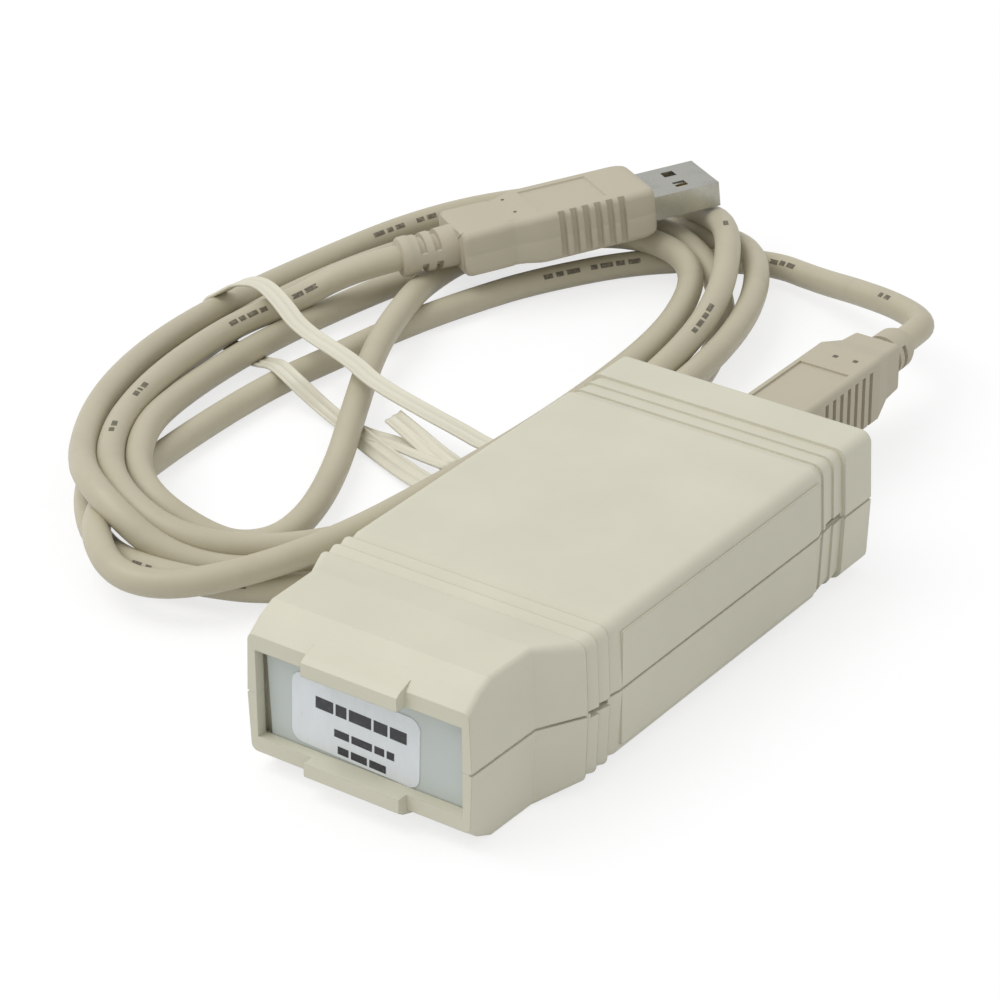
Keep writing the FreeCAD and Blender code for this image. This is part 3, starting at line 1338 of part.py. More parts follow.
def tie_solid():
    """Flat tie that goes once round the coil, closed."""
    height = number(d.coil_height)
    thick, wide = number(d.tie_thickness), number(d.tie_width)
    start, end = [Vector(x, y, 0) for x, y in TIE_POINTS]
    along = end - start
    length = along.Length
    outer = Part.makeBox(length, wide, height + thick, Vector(0, -wide / 2, 0))
    inner = Part.makeBox(length - 2 * thick, wide, height - thick, Vector(thick, -wide / 2, thick))
    band = outer.cut(inner)
    angle = math.degrees(math.atan2(along.y, along.x))
    band.Placement = Placement(start, Rotation(Vector(0, 0, 1), angle))
    return band


def make_lead():
    """The lead from plug to plug: two free ends, a loose loop and the coil."""
    diameter = number(d.cord_diameter)
    exit_y = number(plug_b_face_y + grip_b_end + d.relief_b_length)
    exit_z = number(socket_axis_z)
    lead = [Vector(0, exit_y, exit_z), Vector(0, exit_y + number(d.exit_run), exit_z)]
    lead += [Vector(*point) for point in LEAD_POINTS]
    relief_end = -number(d.grip_a_length + d.grip_a_tail + d.relief_a_length)
    tail = [plug_a_point(0, relief_end, 0), plug_a_point(0, relief_end - number(d.tail_run), 0)]
    tail += [Vector(*point) for point in TAIL_POINTS]
    bight = [Vector(*point) for point in BIGHT_POINTS]
    tie = tie_solid()
    coil = coil_solid().cut(tie)
    for end, inner in ((lead[-1], lead[-2]), (tail[-1], tail[-2]), (bight[0], bight[1]),
                       (bight[-1], bight[-2])):
        coil = coil.cut(end_notch(end, inner, diameter))
    coil = max(coil.Solids, key=lambda solid: solid.Volume)
    add_solid("cable_lead", tube(lead, diameter))
    add_solid("cable_coil", coil)
    add_solid("cable_bight", tube(bight, diameter))
    add_solid("cable_tail", tube(tail, diameter))
    add_solid("twist_tie", tie)


# Build, check and write

def build():
    """Make every piece in the order in which the modem goes together."""
    make_front_panel()
    make_label()
    make_rear_panel()
    make_board()
    make_screws()
    make_socket()
    make_radio_module()
    make_antenna()
    make_chip("usb_bridge_chip", 0, socket_back - d.bridge_gap, d.bridge_width, d.bridge_length,
              d.bridge_height, BRIDGE_LEADS, d.bridge_pitch)
    make_chip("microcontroller", 0, d.front_boss_y + d.controller_gap, d.controller_width,
              d.controller_length, d.controller_height, CONTROLLER_LEADS, d.controller_pitch)
    make_chip("voltage_regulator", d.regulator_x, rear_boss_y - d.regulator_gap, d.regulator_width,
              d.regulator_length, d.regulator_height, REGULATOR_LEADS, d.regulator_pitch)
    make_crystal()
    make_capacitors()
    behind_front = [d.front_boss_y + step for step in (7, 11, 15)]
    make_small_parts("chip_capacitors", d.chip_capacitor_x, behind_front + [rear_boss_y - 14],
                     d.chip_capacitor_height)
    near_rear = [rear_boss_y + step for step in (-4, 0, 8)]
    make_small_parts("chip_resistors", d.chip_resistor_x, behind_front[:1] + near_rear,
                     d.chip_resistor_height)
    make_plug_b_shell()
    make_plug_b_insulator()
    make_plug_b_body()
    make_plug_a_shell()
    make_plug_a_insulator()
    make_plug_a_contacts()
    make_plug_a_body()
    doc.recompute()
    make_lead()
    doc.recompute()


def check():
    """Stop if an object failed or a piece has no sound shape."""
    for thing in doc.Objects:
        if "Invalid" in thing.State or "Error" in thing.State:
            raise RuntimeError("%s failed: %s" % (thing.Name, thing.State))
    for piece in nodes:
        if piece.Shape.isNull() or not piece.Shape.isValid():
            raise RuntimeError("%s has no sound shape" % piece.Label)


def write():
    """Write each piece to its own file."""
    os.makedirs("parts", exist_ok=True)
    for piece in nodes:
        piece.Shape.exportStep("parts/%s.step" % piece.Label)
        box = piece.Shape.BoundBox
        print("%-22s solids %d  volume %9.1f  x %.1f %.1f  y %.1f %.1f  z %.1f %.1f"
              % (piece.Label, len(piece.Shape.Solids), piece.Shape.Volume, box.XMin, box.XMax,
                 box.YMin, box.YMax, box.ZMin, box.ZMax))


build()
check()
write()
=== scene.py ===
import logging
import math
from dataclasses import dataclass, field
from enum import Enum

import bmesh
import bpy
from mathutils import Matrix, Vector


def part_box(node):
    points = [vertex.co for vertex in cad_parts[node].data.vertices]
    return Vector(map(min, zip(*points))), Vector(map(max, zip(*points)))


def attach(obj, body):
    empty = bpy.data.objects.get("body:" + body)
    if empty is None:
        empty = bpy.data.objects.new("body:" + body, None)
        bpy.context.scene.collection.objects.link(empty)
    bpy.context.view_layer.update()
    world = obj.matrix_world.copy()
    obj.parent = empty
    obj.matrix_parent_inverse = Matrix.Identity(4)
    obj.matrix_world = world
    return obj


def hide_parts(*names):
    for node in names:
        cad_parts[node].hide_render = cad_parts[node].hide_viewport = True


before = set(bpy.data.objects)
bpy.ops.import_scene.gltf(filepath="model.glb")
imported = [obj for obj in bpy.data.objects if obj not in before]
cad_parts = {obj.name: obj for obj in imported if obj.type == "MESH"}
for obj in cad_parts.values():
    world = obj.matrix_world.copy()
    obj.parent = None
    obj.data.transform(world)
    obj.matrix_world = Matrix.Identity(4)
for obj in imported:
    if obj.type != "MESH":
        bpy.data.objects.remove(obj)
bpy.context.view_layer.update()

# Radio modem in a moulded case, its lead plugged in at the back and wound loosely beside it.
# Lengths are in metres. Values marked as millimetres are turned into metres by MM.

BODY = "root"
MM = 0.001
LOG = logging.getLogger("radio_modem")

Point = tuple[float, float, float]
Colour = tuple[float, float, float, float]


def shade(red: int, green: int, blue: int) -> Colour:
    """Turn a colour as seen on a screen into the linear values that a shader takes.

    Args:
        red: Red, 0 to 255.
        green: Green, 0 to 255.
        blue: Blue, 0 to 255.

    Returns:
        Linear red, green and blue, with full opacity.
    """
    parts = []
    for part in (red, green, blue):
        value = part / 255
        parts.append(value / 12.92 if value <= 0.04045 else ((value + 0.055) / 1.055) ** 2.4)
    return parts[0], parts[1], parts[2], 1.0


def tinted(colour: Colour, factor: float) -> Colour:
    """Make a colour lighter or darker by a factor."""
    return colour[0] * factor, colour[1] * factor, colour[2] * factor, 1.0


def metres(points: list[Point]) -> list[Vector]:
    """Turn points given in millimetres into metres."""
    return [Vector(point) * MM for point in points]


class Shader:
    """A material's node tree, built step by step."""

    def __init__(self, name: str) -> None:
        """Start a material with a plain surface shader and the piece's own coordinates."""
        self.material = bpy.data.materials.new(name)
        self.material.use_nodes = True
        self.tree = self.material.node_tree
        self.surface = self.tree.nodes["Principled BSDF"]
        self.place = self.tree.nodes.new("ShaderNodeTexCoord").outputs["Object"]

    def node(self, kind: str, **values: object) -> bpy.types.Node:
        """Add a node and set its properties.

        Args:
            kind: The node's type.
            **values: Properties of the node.

        Returns:
            The new node.
        """
        made = self.tree.nodes.new(kind)
        for key, value in values.items():
            setattr(made, key, value)
        return made

    def link(self, source: bpy.types.NodeSocket, target: bpy.types.NodeSocket) -> None:
        """Join two sockets."""
        self.tree.links.new(source, target)

    def stretched(self, factors: Point, turn: float = 0.0) -> bpy.types.NodeSocket:
        """Give coordinates that are turned about z and stretched along each axis."""
        mapping = self.node("ShaderNodeMapping")
        self.link(self.place, mapping.inputs["Vector"])
        mapping.inputs["Rotation"].default_value = (0.0, 0.0, turn)
        mapping.inputs["Scale"].default_value = factors
        return mapping.outputs["Vector"]

    def noise(self, size: float, detail: float = 3.0,
              place: bpy.types.NodeSocket | None = None) -> bpy.types.NodeSocket:
        """Give soft noise with patches of a size in metres."""
        made = self.node("ShaderNodeTexNoise")
        made.inputs["Scale"].default_value = 1 / size
        made.inputs["Detail"].default_value = detail
        self.link(place or self.place, made.inputs["Vector"])
        return made.outputs["Fac"]

    def flecks(self, size: float, share: float) -> bpy.types.NodeSocket:
        """Give small round flecks, one to a cell, that fill a share of the cell's width."""
        cells = self.node("ShaderNodeTexVoronoi")
        cells.inputs["Scale"].default_value = 1 / size
        self.link(self.place, cells.inputs["Vector"])
        return self.spread(cells.outputs["Distance"], share, share * 0.6, 0.0, 1.0)

    def spread(self, source: bpy.types.NodeSocket, low: float, high: float,
               from_value: float, to_value: float) -> bpy.types.NodeSocket:
        """Stretch a range of values to another range, and stop at its ends."""
        made = self.node("ShaderNodeMapRange", clamp=True)
        self.link(source, made.inputs["Value"])
        for name, value in (("From Min", low), ("From Max", high),
                            ("To Min", from_value), ("To Max", to_value)):
            made.inputs[name].default_value = value
        return made.outputs["Result"]

    def product(self, first: bpy.types.NodeSocket,
                second: bpy.types.NodeSocket) -> bpy.types.NodeSocket:
        """Multiply two values."""
        made = self.node("ShaderNodeMath", operation="MULTIPLY")
        self.link(first, made.inputs[0])
        self.link(second, made.inputs[1])
        return made.outputs["Value"]

    def blend(self, amount: bpy.types.NodeSocket, first: Colour | bpy.types.NodeSocket,
              second: Colour | bpy.types.NodeSocket) -> bpy.types.NodeSocket:
        """Mix two colours, each a plain colour or a socket, by an amount."""
        made = self.node("ShaderNodeMix", data_type="RGBA")
        self.link(amount, made.inputs["Factor"])
        for socket, colour in ((made.inputs["A"], first), (made.inputs["B"], second)):
            targets = [item for item in made.inputs if item.name == socket.name
                       and item.type == "RGBA"]
            if isinstance(colour, bpy.types.NodeSocket):
                self.link(colour, targets[0])
            else:
                targets[0].default_value = colour
        return [item for item in made.outputs if item.type == "RGBA"][0]

    def relief(self, height: bpy.types.NodeSocket, depth: float, soften: float = 0.0,
               strength: float = 1.0) -> None:
        """Raise the surface a little, and soften its sharp edges.

        Args:
            height: Height of the relief, 0 to 1.
            depth: Full depth of the relief in metres.
            soften: Radius of the softened edges in metres.
            strength: How much of the relief shows.
        """
        bump = self.node("ShaderNodeBump")
        bump.inputs["Distance"].default_value = depth
        bump.inputs["Strength"].default_value = strength
        self.link(height, bump.inputs["Height"])
        if soften > 0:
            edges = self.node("ShaderNodeBevel", samples=4)
            edges.inputs["Radius"].default_value = soften
            self.link(edges.outputs["Normal"], bump.inputs["Normal"])
        self.link(bump.outputs["Normal"], self.surface.inputs["Normal"])

    def paint(self, colour: bpy.types.NodeSocket) -> None:
        """Take the surface's colour from a socket."""
        self.link(colour, self.surface.inputs["Base Color"])

    def dull(self, roughness: bpy.types.NodeSocket) -> None:
        """Take the surface's roughness from a socket."""
        self.link(roughness, self.surface.inputs["Roughness"])

    def set(self, **values: float) -> None:
        """Set the surface's own sockets, named with underscores for blanks."""
        for key, value in values.items():
            self.surface.inputs[key.replace("_", " ")].default_value = value


@dataclass(frozen=True)
class Plastic:
    """Moulded plastic with faint clouds, a spark-eroded grain and a few specks of dust."""

    name: str
    colour: Colour
    clouds: float = 0.03
    cloud_size: float = 0.016
    grain_size: float = 0.00035
    grain_depth: float = 0.000012
    roughness: float = 0.48
    soften: float = 0.00022
    dust: float = 0.12

    def material(self) -> bpy.types.Material:
        """Build the material."""
        made = Shader(self.name)
        drift = made.spread(made.noise(self.cloud_size), 0.3, 0.7, 0.0, 1.0)
        body = made.blend(drift, tinted(self.colour, 1 - self.clouds),
                          tinted(self.colour, 1 + self.clouds))
        specks = made.product(made.flecks(0.004, 0.035),
                              made.spread(made.noise(0.03), 0.5, 0.7, 0.0, self.dust))
        made.paint(made.blend(specks, body, tinted(self.colour, 0.45)))
        grain = made.noise(self.grain_size, 2.0)
        made.dull(made.spread(grain, 0.2, 0.8, self.roughness - 0.06, self.roughness + 0.08))
        made.relief(grain, self.grain_depth, self.soften)
        made.set(Specular_IOR_Level=0.42)
        return made.material


@dataclass(frozen=True)
class Jacket:
    """Soft jacket of the lead: smooth, a little glossy, darker where it was handled."""

    name: str
    colour: Colour
    roughness: float = 0.42
    wear: float = 0.1

    def material(self) -> bpy.types.Material:
        """Build the material."""
        made = Shader(self.name)
        drift = made.spread(made.noise(0.02, 4.0), 0.3, 0.7, 0.0, 1.0)
        body = made.blend(drift, tinted(self.colour, 1 - self.wear / 2),
                          tinted(self.colour, 1 + self.wear / 3))
        smudges = made.spread(made.noise(0.006, 5.0), 0.58, 0.75, 0.0, self.wear)
        made.paint(made.blend(smudges, body, tinted(self.colour, 0.55)))
        ripple = made.noise(0.0016, 2.0)
        made.dull(made.spread(ripple, 0.2, 0.8, self.roughness - 0.05, self.roughness + 0.1))
        made.relief(ripple, 0.00003)
        made.set(Specular_IOR_Level=0.4)
        return made.material


@dataclass(frozen=True)
class Metal:
    """Drawn or plated metal, with fine lines along one direction and faint stains."""

    name: str
    colour: Colour
    roughness: float = 0.3
    lines: Point = (1.0, 1.0, 1.0)
    turn: float = 0.0
    line_size: float = 0.0004
    stains: float = 0.15

    def material(self) -> bpy.types.Material:
        """Build the material."""
        made = Shader(self.name)
        lines = made.noise(self.line_size, 3.0, made.stretched(self.lines, self.turn))
        stains = made.spread(made.noise(0.005, 4.0), 0.45, 0.75, 0.0, 1.0)
        made.paint(made.blend(stains, self.colour, tinted(self.colour, 1 - self.stains)))
        made.dull(made.spread(lines, 0.2, 0.8, self.roughness - 0.08, self.roughness + 0.12))
        made.relief(lines, 0.000006, 0.00012)
        made.set(Metallic=1.0)
        return made.material


@dataclass(frozen=True)
class Laminate:
    """Circuit board: lacquer over a glass weave, with copper tracks that show through."""

    name: str
    colour: Colour
    track_width: float = 0.0024

    def material(self) -> bpy.types.Material:
        """Build the material."""
        made = Shader(self.name)
        weave = made.noise(0.0006, 2.0, made.stretched((1.0, 0.3, 1.0)))
        tracks = self.tracks(made)
        copper = made.blend(tracks, self.colour, tinted(self.colour, 1.9))
        made.paint(made.blend(made.spread(weave, 0.3, 0.8, 0.0, 0.3), copper,
                              tinted(self.colour, 0.7)))
        made.dull(made.spread(weave, 0.2, 0.8, 0.25, 0.4))
        made.relief(tracks, 0.00003)
        made.set(Specular_IOR_Level=0.5)
        return made.material

    def tracks(self, made: Shader) -> bpy.types.NodeSocket:
        """Give straight tracks that turn at right angles."""
        bricks = made.node("ShaderNodeTexBrick", offset=0.37)
        bricks.inputs["Scale"].default_value = 1 / self.track_width
        bricks.inputs["Mortar Size"].default_value = 0.09
        made.link(made.stretched((0.25, 0.25, 0.0)), bricks.inputs["Vector"])
        return bricks.outputs["Fac"]


@dataclass(frozen=True)
class Paper:
    """Coated label stock: smooth, pale, with faint fibres and a slight shine."""

    name: str
    colour: Colour

    def material(self) -> bpy.types.Material:
        """Build the material."""
        made = Shader(self.name)
        fibres = made.noise(0.0012, 5.0, made.stretched((1.0, 1.0, 0.3)))
        made.paint(made.blend(made.spread(fibres, 0.3, 0.7, 0.0, 1.0),
                              tinted(self.colour, 0.97), tinted(self.colour, 1.02)))
        made.dull(made.spread(fibres, 0.2, 0.8, 0.26, 0.4))
        made.relief(fibres, 0.000006)
        made.set(Specular_IOR_Level=0.5)
        return made.material


@dataclass(frozen=True)
class InkOrPaintedShade:
    """Printed ink, thinner in places; the same flat colour also paints the shade in the plugs' pin
    holes.
    """

    name: str
    colour: Colour
    ground: Colour
    worn: float = 0.3

    def material(self) -> bpy.types.Material:
        """Build the material."""
        made = Shader(self.name)
        patches = made.noise(0.0007, 4.0)
        made.paint(made.blend(made.spread(patches, 0.5, 0.8, 0.0, self.worn), self.colour,
                              self.ground))
        made.dull(made.spread(patches, 0.2, 0.8, 0.45, 0.6))
        made.relief(patches, 0.000004)
        return made.material


class Finish(Enum):
    """The finishes of the modem's pieces."""

    CASE = Plastic("case_cream", shade(212, 209, 190))
    PANEL = Plastic("panel_grey", shade(198, 205, 201), clouds=0.02, grain_size=0.0002,
                    grain_depth=0.000006, roughness=0.38, dust=0.05)
    LABEL = Paper("label_silver_grey", shade(228, 233, 236))
    LEAD = Jacket("lead_jacket", shade(193, 186, 163))
    GRIP = Plastic("plug_moulding", shade(198, 196, 177), clouds=0.025, grain_size=0.0003,
                   grain_depth=0.000008, roughness=0.44, soften=0.0003)
    STEEL = Metal("plated_steel", shade(196, 196, 188), roughness=0.27,
                  lines=(8.0, 0.35, 8.0), turn=math.radians(32.6))
    WHITE_BAR = Plastic("white_insulator", shade(228, 228, 222), clouds=0.02, dust=0.02)
    DARK_BAR = Plastic("black_moulding", shade(34, 34, 36), clouds=0.08, dust=0.1)
    CONTACT = Metal("gilt_contacts", shade(214, 178, 96), roughness=0.3)
    BOARD = Laminate("green_laminate", shade(26, 92, 58))
    TIN = Metal("tinned_can", shade(200, 202, 204), roughness=0.24, lines=(0.4, 6.0, 1.0))
    SCREW = Metal("zinc_screws", shade(188, 186, 176), roughness=0.34)
    COPPER = Metal("antenna_copper", shade(196, 120, 78), roughness=0.3)
    CERAMIC = Plastic("sintered_ceramic", shade(150, 122, 92), clouds=0.08, dust=0.05)
    TIE = Plastic("tie_cream", shade(222, 218, 200), clouds=0.03, grain_size=0.0008,
                  grain_depth=0.00001, roughness=0.36, soften=0.0, dust=0.05)
    LABEL_INK = InkOrPaintedShade("label_ink", shade(52, 52, 56), shade(150, 154, 158), worn=0.15)
    LEAD_INK = InkOrPaintedShade("lead_ink", shade(104, 98, 82), shade(186, 180, 158), worn=0.55)
    # Painted shade: the pin holes get flat dark marks in place of the shade inside them.
    HOLE_SHADE = InkOrPaintedShade("pin_hole_shadow", shade(104, 98, 82), shade(150, 142, 122), worn=0.2)

    def on(self, *things: bpy.types.Object) -> None:
        """Give objects this finish in place of what they have."""
        material = self.material()
        for thing in things:
            thing.data.materials.clear()
            thing.data.materials.append(material)

    def material(self) -> bpy.types.Material:
        """Give this finish's material, made once."""
        return bpy.data.materials.get(self.value.name) or self.value.material()


def add_piece(name: str, mesh: bpy.types.ID) -> bpy.types.Object:
    """Add an object that rides with the modem.

    Args:
        name: The piece's name.
        mesh: Its mesh or curve, in place.

    Returns:
        The new object.
    """
    piece = bpy.data.objects.new(name, mesh)
    bpy.context.scene.collection.objects.link(piece)
    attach(piece, BODY)
    return piece


def evaluated_mesh(thing: bpy.types.Object, name: str) -> bpy.types.Mesh:
    """Turn an object with its modifiers, or a curve, into a plain mesh."""
    depsgraph = bpy.context.evaluated_depsgraph_get()
    depsgraph.update()
    mesh = bpy.data.meshes.new_from_object(thing.evaluated_get(depsgraph), depsgraph=depsgraph)
    mesh.name = name
    return mesh


def smooth_line(points: list[Vector], steps: int = 12) -> list[Vector]:
    """Read points along a smooth curve through a route.

    Args:
        points: Control points of the route in metres.
        steps: Points read for each control point.

    Returns:
        Points along the curve, evenly dense.
    """
    curve = bpy.data.curves.new("route", "CURVE")
    add_spline(curve, points)
    curve.resolution_u = steps
    thing = bpy.data.objects.new("route", curve)
    bpy.context.scene.collection.objects.link(thing)
    mesh = evaluated_mesh(thing, "route")
    line = [vertex.co.copy() for vertex in mesh.vertices]
    bpy.data.objects.remove(thing)
    bpy.data.curves.remove(curve)
    bpy.data.meshes.remove(mesh)
    return line


def add_spline(curve: bpy.types.Curve, points: list[Vector]) -> None:
    """Put one open smooth spline on a curve."""
    curve.dimensions = "3D"
    spline = curve.splines.new("NURBS")
    spline.points.add(len(points) - 1)
    for place, point in zip(spline.points, points):
        place.co = (*point, 1.0)
    spline.order_u = 3
    spline.use_endpoint_u = True


@dataclass
class MarkTree:
    """Node tree that lays one small flat mark on each point, bent over a round surface.

    Each point says which way is outward and which way its mark runs, and how long it is.
    """

    thickness: float = 0.00004
    across: int = 5
    inputs: dict[str, str] = field(default_factory=dict)

    def build(self) -> bpy.types.GeometryNodeTree:
        """Build the tree with its named inputs."""
        tree = bpy.data.node_groups.new("marks_on_points", "GeometryNodeTree")
        tree.is_modifier = True
        face = tree.interface
        face.new_socket("Points", in_out="INPUT", socket_type="NodeSocketGeometry")
        for name in ("Mark Width", "Surface Radius"):
            made = face.new_socket(name, in_out="INPUT", socket_type="NodeSocketFloat")
            self.inputs[name] = made.identifier
        ink = face.new_socket("InkOrPaintedShade", in_out="INPUT", socket_type="NodeSocketMaterial")
        self.inputs["InkOrPaintedShade"] = ink.identifier
        face.new_socket("Marks", in_out="OUTPUT", socket_type="NodeSocketGeometry")
        start = tree.nodes.new("NodeGroupInput")
        end = tree.nodes.new("NodeGroupOutput")
        tile = self.bent_tile(tree, start)
        copies = self.copies(tree, start, tile)
        plain = tree.nodes.new("GeometryNodeRealizeInstances")
        tree.links.new(copies, plain.inputs["Geometry"])
        inked = tree.nodes.new("GeometryNodeSetMaterial")
        tree.links.new(plain.outputs["Geometry"], inked.inputs["Geometry"])
        tree.links.new(start.outputs["InkOrPaintedShade"], inked.inputs["Material"])
        tree.links.new(inked.outputs["Geometry"], end.inputs["Marks"])
        return tree

    def bent_tile(self, tree: bpy.types.GeometryNodeTree,
                  start: bpy.types.Node) -> bpy.types.NodeSocket:
        """Make one mark, 1 m long before it is scaled, bent down at its sides."""
        size = tree.nodes.new("ShaderNodeCombineXYZ")
        size.inputs["X"].default_value = 1.0
        size.inputs["Z"].default_value = self.thickness
        tree.links.new(start.outputs["Mark Width"], size.inputs["Y"])
        tile = tree.nodes.new("GeometryNodeMeshCube")
        tile.inputs["Vertices Y"].default_value = self.across
        tree.links.new(size.outputs["Vector"], tile.inputs["Size"])
        place = tree.nodes.new("GeometryNodeInputPosition")
        parts = tree.nodes.new("ShaderNodeSeparateXYZ")
        tree.links.new(place.outputs["Position"], parts.inputs["Vector"])
        square = self.sum_of(tree, "MULTIPLY", parts.outputs["Y"], parts.outputs["Y"])
        drop = self.sum_of(tree, "DIVIDE", square, start.outputs["Surface Radius"])
        half = tree.nodes.new("ShaderNodeMath")
        half.operation = "MULTIPLY"
        half.inputs[1].default_value = -0.5
        tree.links.new(drop, half.inputs[0])
        offset = tree.nodes.new("ShaderNodeCombineXYZ")
        tree.links.new(half.outputs["Value"], offset.inputs["Z"])
        bend = tree.nodes.new("GeometryNodeSetPosition")
        tree.links.new(tile.outputs["Mesh"], bend.inputs["Geometry"])
        tree.links.new(offset.outputs["Vector"], bend.inputs["Offset"])
        return bend.outputs["Geometry"]

    def copies(self, tree: bpy.types.GeometryNodeTree, start: bpy.types.Node,
               tile: bpy.types.NodeSocket) -> bpy.types.NodeSocket:
        """Lay a copy of the mark on each point, turned and stretched as the point says."""
        upright = self.turned(tree, None, "outward", "Z", "AUTO")
        along = self.turned(tree, upright, "along", "X", "Z")
        stretch = tree.nodes.new("GeometryNodeInputNamedAttribute")
        stretch.data_type = "FLOAT_VECTOR"
        stretch.inputs["Name"].default_value = "stretch"
        copies = tree.nodes.new("GeometryNodeInstanceOnPoints")
        tree.links.new(start.outputs["Points"], copies.inputs["Points"])
        tree.links.new(tile, copies.inputs["Instance"])
        tree.links.new(along, copies.inputs["Rotation"])
        tree.links.new(stretch.outputs["Attribute"], copies.inputs["Scale"])
        return copies.outputs["Instances"]

    def turned(self, tree: bpy.types.GeometryNodeTree, before: bpy.types.NodeSocket | None,
               name: str, axis: str, pivot: str) -> bpy.types.NodeSocket:
        """Turn one axis of the mark towards a point's own direction."""
        direction = tree.nodes.new("GeometryNodeInputNamedAttribute")
        direction.data_type = "FLOAT_VECTOR"
        direction.inputs["Name"].default_value = name
        turn = tree.nodes.new("FunctionNodeAlignRotationToVector")
        turn.axis = axis
        turn.pivot_axis = pivot
        tree.links.new(direction.outputs["Attribute"], turn.inputs["Vector"])
        if before is not None:
            tree.links.new(before, turn.inputs["Rotation"])
        return turn.outputs["Rotation"]

    @staticmethod
    def sum_of(tree: bpy.types.GeometryNodeTree, kind: str, first: bpy.types.NodeSocket,
               second: bpy.types.NodeSocket) -> bpy.types.NodeSocket:
        """Work out one step of arithmetic on two values."""
        made = tree.nodes.new("ShaderNodeMath")
        made.operation = kind
        tree.links.new(first, made.inputs[0])
        tree.links.new(second, made.inputs[1])
        return made.outputs["Value"]


@dataclass(frozen=True)
class Mark:
    """One printed mark: its middle, the way it runs, the way it faces, and its size."""

    place: Vector
    along: Vector
    outward: Vector
    length: float
    spread: float = 1.0


@dataclass
class Printer:
    """Lays flat marks on surfaces: printed ones, and painted shade in the plugs' pin holes."""

    tree: bpy.types.GeometryNodeTree
    inputs: dict[str, str]

    def marks(self, name: str, marks: list[Mark], width: float, radius: float,
              finish: Finish) -> bpy.types.Mesh:
        """Make the mesh of a set of marks.

        Args:
            name: Name of the mesh.
            marks: The marks.
            width: Width of a mark in metres.
            radius: Radius of the surface under them.
            finish: The ink, or the painted shade of the pin holes.

        Returns:
            A plain mesh of all marks.
        """
        points = bpy.data.meshes.new(name + "_points")
        points.from_pydata([mark.place for mark in marks], [], [])
        columns = {
            "outward": [mark.outward for mark in marks],
            "along": [mark.along for mark in marks],
            "stretch": [Vector((mark.length, mark.spread, 1.0)) for mark in marks],
        }
        for key, vectors in columns.items():
            layer = points.attributes.new(key, "FLOAT_VECTOR", "POINT")
            for item, vector in zip(layer.data, vectors):
                item.vector = vector
        thing = bpy.data.objects.new(name + "_points", points)
        bpy.context.scene.collection.objects.link(thing)
        modifier = thing.modifiers.new("marks", "NODES")
        modifier.node_group = self.tree
        modifier[self.inputs["Mark Width"]] = width
        modifier[self.inputs["Surface Radius"]] = radius
        modifier[self.inputs["InkOrPaintedShade"]] = finish.material()
        mesh = evaluated_mesh(thing, name)
        thing.modifiers.clear()
        bpy.data.objects.remove(thing)
        bpy.data.meshes.remove(points)
        return mesh


def new_marker() -> Printer:
    """Make the marker with its node tree."""
    recipe = MarkTree()
    tree = recipe.build()
    return Printer(tree, recipe.inputs)


@dataclass(frozen=True)
class Row:
    """One row of plain bars on the label: its place on it and the lengths of its bars."""

    middle: float
    drop: float
    height: float
    lengths: tuple[float, ...]
    gap: float = 0.45


@dataclass
class ModemCase:
    """Covers, panels and the label, whose three lines are rows of plain bars."""

    label_turn: float = math.radians(2.0)
    bar_proud: float = 0.00003
    flat: float = 10.0
    rows: tuple[Row, ...] = (
        Row(1.0, -1.95, 1.9, (3.1, 1.9, 3.9, 2.4, 2.9)),
        Row(1.6, 1.95, 1.25, (2.6, 3.6, 1.7, 1.3)),
        Row(1.2, 4.65, 1.25, (1.9, 2.8, 2.9)),
    )

    def dress(self) -> None:
        """Give the covers, panels and label their finishes."""
        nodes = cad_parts
        Finish.CASE.on(nodes["top_cover"], nodes["bottom_cover"])
        Finish.PANEL.on(nodes["front_panel"], nodes["rear_panel"])
        Finish.LABEL.on(nodes["front_label"])
        LOG.info("case: covers, panels and label dressed")

    def print_label(self, marker: Printer) -> None:
        """Put the rows of bars on the label."""
        low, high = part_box("front_label")
        middle = (low + high) / 2
        right = Vector((math.cos(self.label_turn), 0, -math.sin(self.label_turn)))
        down = Vector((-math.sin(self.label_turn), 0, -math.cos(self.label_turn)))
        front = low.y - self.bar_proud
        marks = []
        for row in self.rows:
            total = sum(row.lengths) + row.gap * (len(row.lengths) - 1)
            reach = row.middle - total / 2
            for length in row.lengths:
                place = middle + (right * (reach + length / 2) + down * row.drop) * MM
                place.y = front
                marks.append(Mark(place, right, Vector((0, -1, 0)), length * MM,
                                  row.height / self.rows[0].height))
                reach += length + row.gap
        mesh = marker.marks("label_bars", marks, self.rows[0].height * MM, self.flat,
                             Finish.LABEL_INK)
        add_piece("label_bars", mesh)
        LOG.info("label: %d bars in %d rows", len(marks), len(self.rows))


@dataclass
class Electronics:
    """What the case holds: board, radio module, socket and the parts soldered on."""

    finishes: dict[str, Finish] = field(default_factory=lambda: {
        "circuit_board": Finish.BOARD, "radio_module_board": Finish.BOARD,
        "board_screws": Finish.SCREW, "usb_socket_shell": Finish.TIN,
        "usb_socket_insulator": Finish.WHITE_BAR, "usb_socket_contacts": Finish.CONTACT,
        "module_sockets": Finish.DARK_BAR, "module_pin_strips": Finish.DARK_BAR,
        "radio_shield_can": Finish.TIN, "antenna_wire": Finish.COPPER,
        "usb_bridge_chip": Finish.DARK_BAR, "microcontroller": Finish.DARK_BAR,
        "voltage_regulator": Finish.DARK_BAR, "crystal": Finish.TIN,
        "round_capacitors": Finish.TIN, "chip_capacitors": Finish.CERAMIC,
        "chip_resistors": Finish.DARK_BAR,
    })

    def dress(self) -> None:
        """Give each inner piece its finish."""
        for name, finish in self.finishes.items():
            finish.on(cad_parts[name])
        LOG.info("electronics: %d pieces dressed", len(self.finishes))


@dataclass(frozen=True)
class Station:
    """One place along a moulding: how far back it is, and its half width and height there."""

    back: float
    wide: float
    high: float
    corner: float


